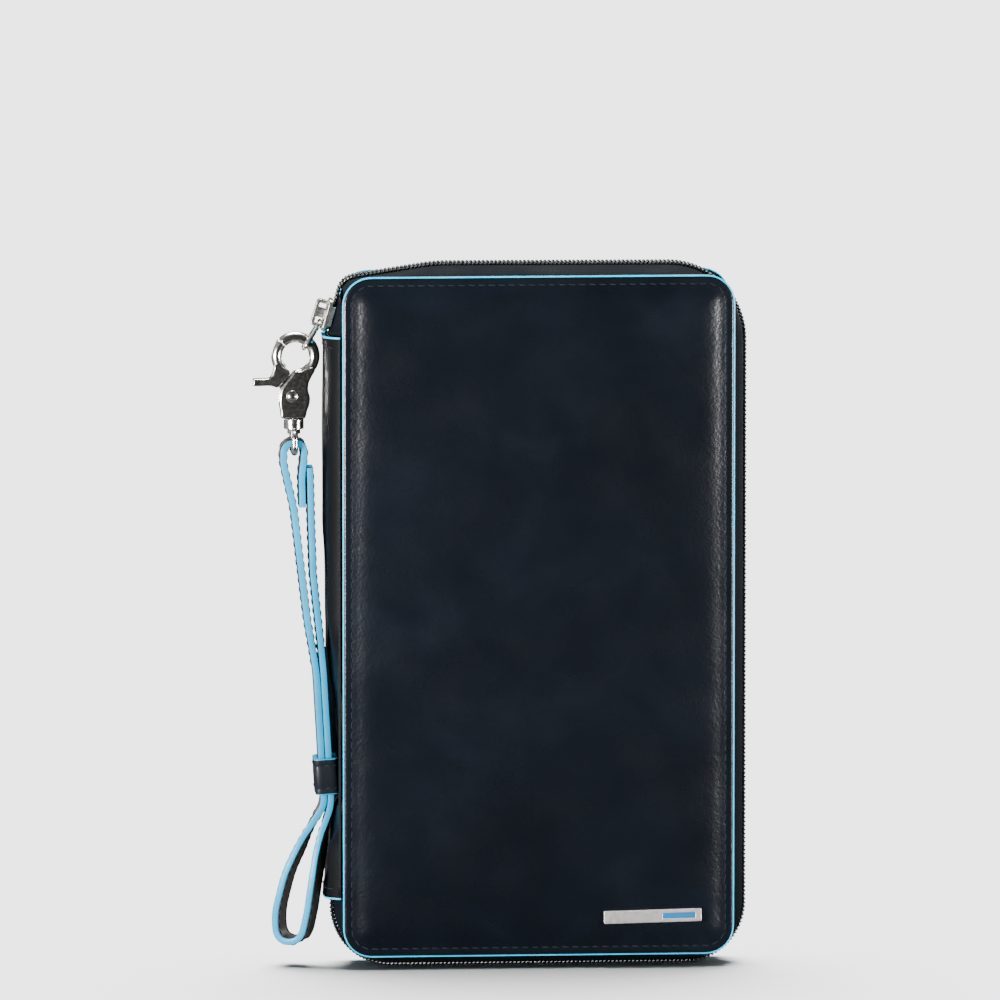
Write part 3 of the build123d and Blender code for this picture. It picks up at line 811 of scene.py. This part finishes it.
def spine():
    """The spine's leather with its painted ends and stitches, and the board and lining behind it."""
    strip = make_object("spine_strip", *spine_strip(SPINE_LOW + 0.4, SPINE_HIGH - 0.4, 0.0, 1.2),
                        SPINE_LEATHER, "spine", "navy_leather", "spine_leather")
    for end, low, high in (("foot", SPINE_LOW - 0.1, SPINE_LOW + 0.45),
                           ("head", SPINE_HIGH - 0.45, SPINE_HIGH + 0.1)):
        make_object("spine_" + end + "_bead", *spine_strip(low, high, -0.06, 1.22), BLUE, "spine",
                    "blue_edge", "spine_" + end + "_paint")
    places = []
    for z in (SPINE_LOW + 3.4, SPINE_HIGH - 3.4):
        for k in range(-3, 4):
            y = k * STITCH_PITCH * 0.92
            at = Vector((spine_x(z, y, 0.1), y, z))
            ahead = Vector((spine_x(z, y + 0.5, 0.1), y + 0.5, z)) - at
            up = Vector((-ahead.y, ahead.x, 0)).normalized()
            places.append((at, ahead.normalized(), up))
    sew("spine_stitches", places, "spine")
    make_object("spine_lining_cloth", *spine_strip(36.2, 197.8, 2.25, 2.9, 7.6), LINING, "spine", "lining",
                "spine_lining")
    make_object("spine_board", *spine_strip(36.4, 197.6, 1.35, 2.1, 6.9), BOARD, "spine", "board",
                "spine_stiffener")
    return strip


# ---------------------------------------------------------------- metal
PLATE_MIDDLE = Vector((37.35, -13.5, 17.3))
PLATE_TILT = -1.2
RING = Vector((-79.1, 202.0))
RING_MAJOR = 6.2
RING_MINOR = 1.8
RIVET = Vector((-80.3, 188.9))
# outlines in X and Z from the ring's centre, rounded when they are used
HOOK_OUTLINE = [(-0.5, -4.9), (-2.1, -6.9), (-3.9, -9.1), (-5.0, -11.2), (-5.4, -13.6), (-5.4, -16.0),
                (-5.0, -18.4), (-4.6, -20.4), (-2.0, -20.45), (1.0, -20.45), (3.0, -20.4), (3.7, -18.2),
                (4.5, -15.8), (4.7, -13.6), (4.1, -11.2), (4.3, -8.9), (5.3, -6.6), (6.3, -4.7),
                (5.2, -3.6), (3.4, -4.2), (1.4, -4.9)]
GATE_OUTLINE = [(-3.6, -3.9), (-1.7, -5.4), (-2.9, -7.1), (-4.5, -9.0), (-6.0, -10.3), (-7.6, -9.9),
                (-9.0, -9.7), (-13.6, -9.75), (-13.9, -8.6), (-13.6, -7.45), (-9.4, -7.4), (-8.0, -6.6),
                (-7.3, -4.6), (-6.8, -2.8), (-5.2, -3.0)]
TAIL_OUTLINE = [(-2.6, -5.4), (-5.6, -9.0), (-3.1, -14.2), (0.2, -14.2), (0.4, -11.8)]
# the front half of the turned rivet, as radius and Y
RIVET_DOME = [(0.05, -3.15), (0.7, -3.1), (1.2, -2.95), (1.35, -2.8), (1.5, -2.78), (1.7, -2.86),
              (1.9, -2.75), (2.0, -2.55), (1.98, -2.38), (1.0, -2.3)]


def melt(obj, material, voxel, rounds, sharp):
    """Melts an object's edges round, as plated castings have, and gives it its material."""
    remesh = obj.modifiers.new("remesh", "REMESH")
    remesh.mode = "VOXEL"
    remesh.voxel_size = voxel * MM
    soft = obj.modifiers.new("soft", "SMOOTH")
    soft.factor = 0.5
    soft.iterations = rounds
    bake(obj)
    set_material(obj.data, material)
    shade_smooth(obj, sharp)


def softened(name, node, body, material, voxel, rounds, tilt=0.0):
    """A copy of a CAD piece with its edges melted round."""
    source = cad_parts[node]
    mesh = source.data.copy()
    if tilt:
        middle = Matrix.Translation(PLATE_MIDDLE * MM)
        mesh.transform(middle @ Matrix.Rotation(math.radians(tilt), 4, "Y") @ middle.inverted())
    set_material(mesh, material)
    obj = new_object(name, mesh)
    obj.matrix_world = source.matrix_world
    melt(obj, material, voxel, rounds, 50)
    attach(obj, body)
    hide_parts(node)


def rounded_closed(points):
    """A smooth closed line through the points."""
    steps = 5
    count = len(points)
    line = []
    for i in range(count):
        a, b, c, d = (Vector(points[(i + k) % count]) for k in (-1, 0, 1, 2))
        for k in range(steps):
            t = k / steps
            line.append(0.5 * (2 * b + (c - a) * t + (2 * a - 5 * b + 4 * c - d) * t * t
                               + (3 * b - a - 3 * c + d) * t * t * t))
    return line


def plate(points, half, bevel):
    """A flat casting with rounded rims about the ring's centre and Y = 0, as a loose object."""
    line = [Vector(point) + RING for point in rounded_closed(points)]
    rings = [[(at.x, y, at.y) for at in line] for y in (-half, half)]
    obj = loose("plate", *tube(rings, False))
    rim = obj.modifiers.new("rim", "BEVEL")
    rim.width = bevel * MM
    rim.segments = 3
    rim.limit_method = "ANGLE"
    rim.angle_limit = math.radians(50)
    bake(obj)
    return obj


def loose(name, points, faces):
    """A nickel object that rides on nothing yet."""
    mesh = mesh_of(name, points, faces)
    mesh.materials.append(NICKEL)
    fix_normals(mesh)
    return new_object(name, mesh)


def ring_part(start, end):
    """Part of the snap ring between two angles seen from the front, a little deeper than wide."""
    rings = []
    steps = max(8, int((end - start) / 4))
    for i in range(steps + 1):
        a = math.radians(start + (end - start) * i / steps)
        out = Vector((math.cos(a), math.sin(a)))
        ring = []
        for k in range(20):
            b = 2 * math.pi * k / 20
            reach = RING_MAJOR + RING_MINOR * math.cos(b)
            ring.append((RING.x + out.x * reach, RING_MINOR * 1.02 * math.sin(b), RING.y + out.y * reach))
        rings.append(ring)
    return loose("ring", *tube(rings, False))


def cut(obj, low, high):
    """Takes a box out of an object."""
    corners = [(x, y, z) for x in (low[0], high[0]) for y in (low[1], high[1]) for z in (low[2], high[2])]
    faces = [(0, 1, 3, 2), (4, 6, 7, 5), (0, 4, 5, 1), (2, 3, 7, 6), (0, 2, 6, 4), (1, 5, 7, 3)]
    cutter = loose("cutter", corners, faces)
    slot = obj.modifiers.new("slot", "BOOLEAN")
    slot.operation = "DIFFERENCE"
    slot.object = cutter
    bake(obj)
    bpy.data.objects.remove(cutter)


def cast(name, pieces, body, node):
    """Melts loose pieces into one nickel casting that stands for a CAD node."""
    points, faces = merge([shape_of(piece.data) for piece in pieces])
    for piece in pieces:
        bpy.data.objects.remove(piece)
    obj = make_object(name, points, faces, NICKEL, body, "nickel", node, smooth=False)
    melt(obj, NICKEL, 0.16, 3, 60)


def lathe(profile, centre):
    """A turned shape about an axis along Y; the profile is (radius, Y) pairs."""
    sides = 40
    rings = []
    for radius, y in profile:
        rings.append([(centre.x + radius * math.cos(2 * math.pi * k / sides), y,
                       centre.y + radius * math.sin(2 * math.pi * k / sides)) for k in range(sides)])
    return tube(rings, False)


def snap_hook():
    """Ring and cheeks, the sprung gate with its thumb lever, and the rivet."""
    cheeks = plate(HOOK_OUTLINE, 2.4, 0.75)
    cut(cheeks, (RING.x - 9, -1.5, 186.6), (RING.x + 1.4, 1.5, 198.6))
    cast("hook_casting", [cheeks, ring_part(-88, 134)], "hook", "hook_body")
    lever = plate(GATE_OUTLINE, 1.95, 0.6)
    tail = plate(TAIL_OUTLINE, 0.6, 0.15)
    cast("hook_thumb_gate", [lever, tail, ring_part(137, 228)], "gate", "hook_gate")
    shape = lathe(RIVET_DOME + [(radius, -y) for radius, y in reversed(RIVET_DOME)], RIVET)
    make_object("rivet_heads", *shape, NICKEL, "hook", "nickel", "hook_rivet")


def hardware():
    """Slider, link, snap hook, gate, rivet, swivel and end stops."""
    snap_hook()
    softened("slider_casting", "slider_body", "slider", SATIN, 0.16, 5)
    softened("slider_lock_cover", "slider_bridge", "slider", SATIN, 0.14, 6)
    softened("wire_link", "pull_link", "link", NICKEL, 0.14, 3)
    softened("gate_spring_wire", "gate_spring", "hook", SPRING, 0.1, 2)
    softened("swivel_and_eye", "swivel_eye", "swivel", NICKEL, 0.14, 5)
    softened("upper_stops", "upper_end_stop", "spine", NICKEL, 0.1, 3)
    softened("lower_stop", "lower_end_stop", "spine", NICKEL, 0.1, 3)
    softened("name_plate_steel", "metal_plate", "front_cover", PLATE, 0.12, 2, PLATE_TILT)
    softened("name_plate_inlay", "plate_inlay", "front_cover", INLAY, 0.08, 1, PLATE_TILT)


# ---------------------------------------------------------------- strap
LEG_TOP = Vector((-71.4, 98.0))
LEG_FOOT = Vector((-68.9, 54.0))
STRAP_HALF = 1.1
# how far the wrist loop is turned at its foot, degrees
LOOP_TWIST = -21


def leg_point(middle, side):
    """A point on one leg's centre line; side is 1 for the leg next to the spine."""
    up = (LEG_TOP - LEG_FOOT).normalized()
    offset = (STRAP_HALF + 0.05) * side
    return middle + Vector((up.y, -up.x)) * offset


def strap_line():
    """The strap's centre line seen from the front, smooth and evenly spaced."""
    route = [((-74.6, 165.5), 0), ((-74.2, 148.0), 40), ((-73.6, 130.0), 40), ((-71.2, 108.0), 60),
             (leg_point(LEG_TOP, 1), 60), (leg_point(LEG_FOOT, 1), 20), ((-70.2, 45.0), 20),
             ((-72.1, 32.0), 60), ((-74.0, 19.0), 30), ((-76.4, 8.4), 5), ((-84.7, 8.3), 4),
             ((-85.3, 17.5), 20), ((-81.9, 31.0), 40), ((-76.0, 43.5), 20), (leg_point(LEG_FOOT, -1), 7),
             (leg_point(LEG_TOP, -1), 60), ((-75.5, 115.0), 60), ((-77.9, 135.0), 60),
             ((-79.9, 152.0), 10), ((-83.4, 167.5), 2.6), ((-83.0, 173.8), 2.6), ((-76.4, 173.8), 5),
             ((-76.5, 169.0), 5), ((-77.3, 163.0), 8), ((-77.1, 152.5), 0)]
    line = [Vector(route[0][0])]
    for (before, _), (at, radius), (after, _) in zip(route, route[1:], route[2:]):
        at = Vector(at)
        into, out = Vector(before) - at, Vector(after) - at
        room = 0.45 * min(into.length, out.length) * math.tan(into.angle(out) / 2)
        line += corner_arc(at, into, out, min(radius, room), 8)
    line.append(Vector(route[-1][0]))
    even = [at for at, _ in evenly(line, 0.9, closed=False)]
    for _ in range(3):
        even = [even[0]] + [(a + b * 2 + c) / 4 for a, b, c in zip(even, even[1:], even[2:])] + [even[-1]]
    return even


def loop_twist(x, y, z):
    """The wrist loop hangs turned a little about its own upright middle, below the keeper."""
    angle = math.radians(LOOP_TWIST) * blend_value(-55.0, -36.0, -z)
    middle_x = -78.5 + 9.5 * blend_value(22.0, 52.0, z)
    dx = x - middle_x
    return (middle_x + dx * math.cos(angle) - y * math.sin(angle),
            dx * math.sin(angle) + y * math.cos(angle), z)


# one half of the strap's section: offset through its thickness, offset across its width, and whether
# the face that follows is painted
HALF_SECTION = [(1.1, -4.55, 0), (1.1, -3.9, 0), (1.0, -3.6, 0), (1.1, -3.3, 0), (1.12, -1.2, 0),
                (1.12, 1.2, 0), (1.1, 3.3, 0), (1.0, 3.6, 0), (1.1, 3.9, 0), (1.1, 4.55, 1),
                (0.92, 4.9, 1), (0.5, 5.04, 1), (-0.5, 5.04, 1), (-0.92, 4.9, 1)]
STRAP_SECTION = HALF_SECTION + [(-u, -v, painted) for u, v, painted in HALF_SECTION]
SEAM_ACROSS = 3.6


def strap():
    """The wrist strap: one strip with blue painted edges and dark faces, stitched along both sides."""
    line = strap_line()
    rings = []
    for i, at in enumerate(line):
        along = (line[min(i + 1, len(line) - 1)] - line[max(i - 1, 0)]).normalized()
        out = Vector((along.y, -along.x))
        swell = 1.0 + 0.035 * noise.noise(Vector((at.x, at.y, 5)) * 0.2)
        rings.append([loop_twist(at.x + out.x * u * swell, v, at.y + out.y * u * swell)
                      for u, v, _ in STRAP_SECTION])
    points, faces = tube(rings, False)
    finishes = [finish for _, _, finish in STRAP_SECTION]
    indices = [finishes[k % len(finishes)] for k in range(len(faces) - 2)] + [1, 1]
    make_object("wrist_strap_leather", points, faces, [STRAP_FACE, STRAP_BLUE], "strap", "strap_leather",
                "wrist_strap", indices=indices)
    strap_stitches(line)


def strap_stitches(line):
    """Rows of stitches near both edges, on both faces."""
    places = []
    for at, along in evenly(line, 3.0, closed=False)[1:-1]:
        if 50 < at.y < 100:
            continue
        out = Vector((along.y, -along.x))
        for face in (-1, 1):
            for y in (-SEAM_ACROSS, SEAM_ACROSS):
                spot = Vector(loop_twist(at.x + out.x * face * 1.02, y, at.y + out.y * face * 1.02))
                ahead = Vector(loop_twist(at.x + along.x + out.x * face * 1.02, y,
                                          at.y + along.y + out.y * face * 1.02)) - spot
                normal = Vector(loop_twist(at.x + out.x * face * 2, y, at.y + out.y * face * 2)) - spot
                places.append((spot, ahead.normalized(), normal.normalized()))
    sew("strap_stitches", places, "strap")


KEEPER_LOW = 57.6
KEEPER_HIGH = 69.5


def keeper():
    """The leather band round both legs, with painted rims and a row of stitches near each."""
    up = (LEG_TOP - LEG_FOOT).normalized()
    out = Vector((up.y, -up.x))
    middle = (KEEPER_LOW + KEEPER_HIGH) / 2
    centre = LEG_FOOT + (LEG_TOP - LEG_FOOT) * ((middle - LEG_FOOT.y) / (LEG_TOP.y - LEG_FOOT.y))
    tall = (KEEPER_HIGH - KEEPER_LOW) / 2
    steps = [(-tall - 0.05, 2.45, 1), (-tall, 3.6, 1), (-tall + 0.12, 3.84, 1), (-tall + 0.35, 3.86, 0),
             (-tall + 1.9, 3.86, 0), (-tall + 2.2, 3.78, 0), (-tall + 2.5, 3.86, 0), (0, 3.92, 0),
             (tall - 2.5, 3.86, 0), (tall - 2.2, 3.78, 0), (tall - 1.9, 3.86, 0), (tall - 0.35, 3.86, 1),
             (tall - 0.12, 3.84, 1), (tall, 3.6, 1), (tall + 0.05, 2.45, 0), (0, 2.42, 0)]
    rings = []
    for k in range(48):
        rings.append([keeper_point(centre, up, out, height, reach, k / 48) for height, reach, _ in steps])
    points, faces = tube(rings, True)
    finishes = [finish for _, _, finish in steps]
    indices = [finishes[k % len(finishes)] for k in range(len(faces))]
    make_object("keeper_band", points, faces, [POCKET_LEATHER, STRAP_BLUE], "keeper", "navy_leather",
                "strap_keeper", indices=indices)
    places = []
    for height in (-tall + 2.2, tall - 2.2):
        for k in range(14):
            t = (k + 0.5) / 14
            at = Vector(keeper_point(centre, up, out, height, 3.8, t))
            ahead = Vector(keeper_point(centre, up, out, height, 3.8, t + 0.01)) - at
            normal = ahead.cross(Vector((up.x, 0, up.y))).normalized()
            if normal.dot(at - Vector((centre.x, 0, centre.y))) < 0:
                normal.negate()
            places.append((at, ahead.normalized(), normal))
    sew("keeper_stitches", places, "keeper")


def keeper_point(centre, up, out, height, reach, turn):
    """A point of the band: a rounded rectangle round the strap, reach being its half thickness there."""
    half_u, half_v = reach, reach + 2.75
    corner = min(1.6, reach - 0.9) if reach > 3 else 0.5
    corners = [((u * half_u, v * half_v), corner) for u, v in ((1, -1), (1, 1), (-1, 1), (-1, -1))]
    loop = rounded_outline(corners, arc_steps=5, run_step=2.0)
    line = evenly(loop, 0.25)
    at = line[int(turn % 1.0 * len(line))][0]
    spot = centre + up * height + out * at.x
    return (spot.x, at.y, spot.y)


# ---------------------------------------------------------------- inside
PANEL_STEPS = [0.0, 0.12, 0.45, 1.3, 2.3, 2.8, 3.3, 4.6, 7.0, 10.0]
PANEL_SEAM = 2.8


def panel_lines(low, high):
    """Lines across a panel, close together by its edges."""
    half = (high - low) / 2
    last = PANEL_STEPS[-1]
    count = max(2, round((half - last) / 4.5))
    steps = PANEL_STEPS + [last + (half - last) * (k + 1) / count for k in range(count)]
    return [low + step for step in steps] + [high - step for step in reversed(steps[:-1])]


def panel(name, node, side, radius=2.5, sag=0.22):
    """A sewn leather panel in the space of a flat CAD layer: rolled edges, a sunk seam, a soft middle."""
    sign = dict(SIDES)[side]
    low, high = (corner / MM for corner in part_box(node))
    face, seat = sorted((abs(low.y), abs(high.y)))
    middle = ((low.x + high.x) / 2, (low.z + high.z) / 2)
    half = ((high.x - low.x) / 2, (high.z - low.z) / 2)
    xs, zs = panel_lines(low.x, high.x), panel_lines(low.z, high.z)
    points = []
    for z in zs:
        for x in xs:
            inset = min(x - low.x, high.x - x, z - low.z, high.z - z)
            roll = (0.3 * (1 - blend_value(0.0, 0.5, inset))
                    + 0.14 * max(0.0, 1 - abs(inset - PANEL_SEAM) / 0.5))
            uneven = 0.5 + 0.5 * noise.noise(Vector((x * 0.04, z * 0.04, face)))
            ease = sag * blend_value(4.0, 16.0, inset) * uneven
            rx, rz = eased_corner(x, z, middle, half, radius)
            points.append((rx, sign * (face + roll + ease + 0.02), rz))
    shape = close_sheet(points, grid_faces(len(xs), len(zs)), sign * (seat - 0.02))
    obj = make_object(name, *shape, POCKET_LEATHER, side + "_cover", "navy_leather", node)
    shade_smooth(obj, 60)
    loop = cover_loop(PANEL_SEAM, half, middle, radius + PANEL_SEAM)
    inward = Vector((0, -sign, 0))
    places = [(Vector((at.x, sign * (face + 0.1), at.y)), Vector((along.x, 0, along.y)), inward)
              for at, along in evenly(loop, STITCH_PITCH)]
    sew(name + "_stitches", places, side + "_cover")


def lining(side):
    """The cloth inside a cover, with its edge turned in against the leather."""
    sign = dict(SIDES)[side]
    low, high = (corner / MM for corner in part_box(side + "_lining"))
    face, seat = sorted((abs(low.y), abs(high.y)))
    half = ((high.x - low.x) / 2, (high.z - low.z) / 2)
    middle = (0.0, (low.z + high.z) / 2)
    rings = []
    for inset, depth in ((4.9, face + 0.56), (4.7, seat), (0.0, seat), (0.0, face + 0.35),
                         (0.1, face + 0.12), (0.5, face + 0.02), (1.6, face + 0.12), (2.1, face + 0.02),
                         (4.9, face + 0.02)):
        loop = cover_loop(inset, half, middle, 7.6)
        rings.append([(at.x, sign * depth, at.y) for at, _ in evenly(loop, 3.0)])
    count = min(len(ring) for ring in rings)
    rings = [[ring[int(k * len(ring) / count)] for k in range(count)] for ring in rings]
    make_object(side + "_lining_cloth", *tube(rings, False), LINING, side + "_cover", "lining",
                side + "_lining")


def inside():
    """Linings, pockets, card slots and the passport sleeve, seen when the covers are open."""
    lining("front")
    lining("back")
    panel("document_pocket", "slip_pocket", "front")
    panel("ticket_pocket_leather", "ticket_pocket", "back")
    panel("passport_sleeve_leather", "passport_sleeve", "back")
    for number in (1, 2, 3, 4):
        panel(f"card_pocket_{number}", f"card_slot_{number}", "front", 2.0, 0.12)


def cad_finishes():
    """Materials for the CAD pieces that stay: the boards behind the leather."""
    for side, _ in SIDES:
        set_material(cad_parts[side + "_stiffener_board"].data, BOARD)


# ---------------------------------------------------------------- studio
LENS = 504.9
CAMERA_DISTANCE = 4.6
CAMERA_VIEW = (-4, 7.3)
CAMERA_TARGET = (-12.0, 0, 153.8)
# the height that the soft boxes face, metres
LIT_HEIGHT = 0.17


def studio():
    """A pale floor, the room's own light and a broad light from above."""
    mesh = bpy.data.meshes.new("floor")
    mesh.from_pydata([(-15, -6, 0), (15, -6, 0), (15, 24, 0), (-15, 24, 0)], [], [(0, 1, 2, 3)])
    floor = new_object("floor", mesh)
    material, tree, shader, place = nodes_of("floor_paper")
    speck = noise_field(tree, place, 1.5, 3)
    tree.links.new(shades(tree, speck, [(0.3, (0.79, 0.79, 0.79)), (0.7, (0.81, 0.81, 0.81))]),
                   shader.inputs["Base Color"])
    shader.inputs["Roughness"].default_value = 0.9
    shader.inputs["Specular IOR Level"].default_value = 0.0
    mesh.materials.append(material)
    floor.visible_glossy = False
    room()
    sun("top_light", (180, 77), 13.0, 40)
    return floor


def side_lights(floor, spine_leather):
    """Soft boxes: four in front draw the streaks on the padding's flanks, two light the back."""
    panel_light("left_panel", (-0.50, -0.42, 0.150), (0.16, 0.03), 14, [floor, spine_leather])
    panel_light("left_low_panel", (-0.50, -0.42, 0.06), (0.12, 0.12), 1.0, [floor])
    panel_light("right_panel", (0.52, -0.42, 0.13), (0.16, 0.04), 5.5, [floor])
    panel_light("right_low_panel", (0.52, -0.42, 0.02), (0.12, 0.14), 2.0, [floor])
    panel_light("back_left_panel", (-0.55, 0.50, 0.30), (0.30, 0.30), 3.0, [floor])
    panel_light("back_right_panel", (0.55, 0.50, 0.30), (0.30, 0.30), 3.0, [floor])


def room():
    """The studio's light by direction: dim ahead of and behind the wallet, bright above and to both sides."""
    world = bpy.data.worlds.new("room")
    bpy.context.scene.world = world
    world.use_nodes = True
    tree = world.node_tree
    place = tree.nodes.new("ShaderNodeTexCoord").outputs["Generated"]
    parts = tree.nodes.new("ShaderNodeSeparateXYZ")
    tree.links.new(place, parts.inputs[0])
    ahead = tree.nodes.new("ShaderNodeMath")
    ahead.operation = "ABSOLUTE"
    tree.links.new(parts.outputs["Y"], ahead.inputs[0])
    greys = [(0.0, 0.7), (0.45, 0.5), (0.72, 0.05), (1.0, 0.02)]
    light = shades(tree, ahead.outputs[0], [(position, (grey, grey, grey)) for position, grey in greys])
    back = tree.nodes["Background"]
    tree.links.new(light, back.inputs["Color"])
    back.inputs["Strength"].default_value = 0.6


def aim(obj, back):
    """Turns an object so that its own Z axis points along back."""
    obj.rotation_mode = "QUATERNION"
    obj.rotation_quaternion = Vector(back).to_track_quat("Z", "Y")


def direction(azimuth, elevation):
    """Towards a place given in degrees, azimuth 0 being the side that the front cover faces."""
    a, e = math.radians(azimuth), math.radians(elevation)
    return Vector((math.sin(a) * math.cos(e), -math.cos(a) * math.cos(e), math.sin(e)))


def sun(name, place, strength, spread_angle):
    """A broad distant light; place is its azimuth and elevation in degrees."""
    light = bpy.data.lights.new(name, "SUN")
    light.energy = strength
    light.angle = math.radians(spread_angle)
    obj = new_object(name, light)
    aim(obj, direction(*place))


def panel_light(name, place, size, power, left_out):
    """A soft box turned towards the wallet's upper half, which doesn't light the pieces left out."""
    light = bpy.data.lights.new(name, "AREA")
    light.shape = "RECTANGLE"
    light.size, light.size_y = size
    light.energy = power
    obj = new_object(name, light)
    obj.location = place
    aim(obj, Vector(place) - Vector((0, 0, LIT_HEIGHT)))
    unlit = bpy.data.collections.new(name + "_leaves_out")
    for piece in left_out:
        unlit.objects.link(piece)
    obj.light_linking.receiver_collection = unlit
    for entry in unlit.collection_objects:
        entry.light_linking.link_state = "EXCLUDE"


def camera():
    """A long lens slightly above and left of the wallet's middle."""
    data = bpy.data.cameras.new("camera")
    data.lens = LENS
    data.sensor_width = 36
    obj = new_object("camera", data)
    back = direction(*CAMERA_VIEW)
    obj.location = Vector(CAMERA_TARGET) * MM + back * CAMERA_DISTANCE
    obj.rotation_mode = "QUATERNION"
    obj.rotation_quaternion = (-back).to_track_quat("-Z", "Y")
    data.clip_start, data.clip_end = 0.05, 60
    bpy.context.scene.camera = obj


# ---------------------------------------------------------------- everything
camera()
floor = studio()
cad_finishes()
covers()
edge_beads()
cover_stitches()
tapes()
coils()
spine_leather = spine()
hardware()
strap()
keeper()
inside()
side_lights(floor, spine_leather)
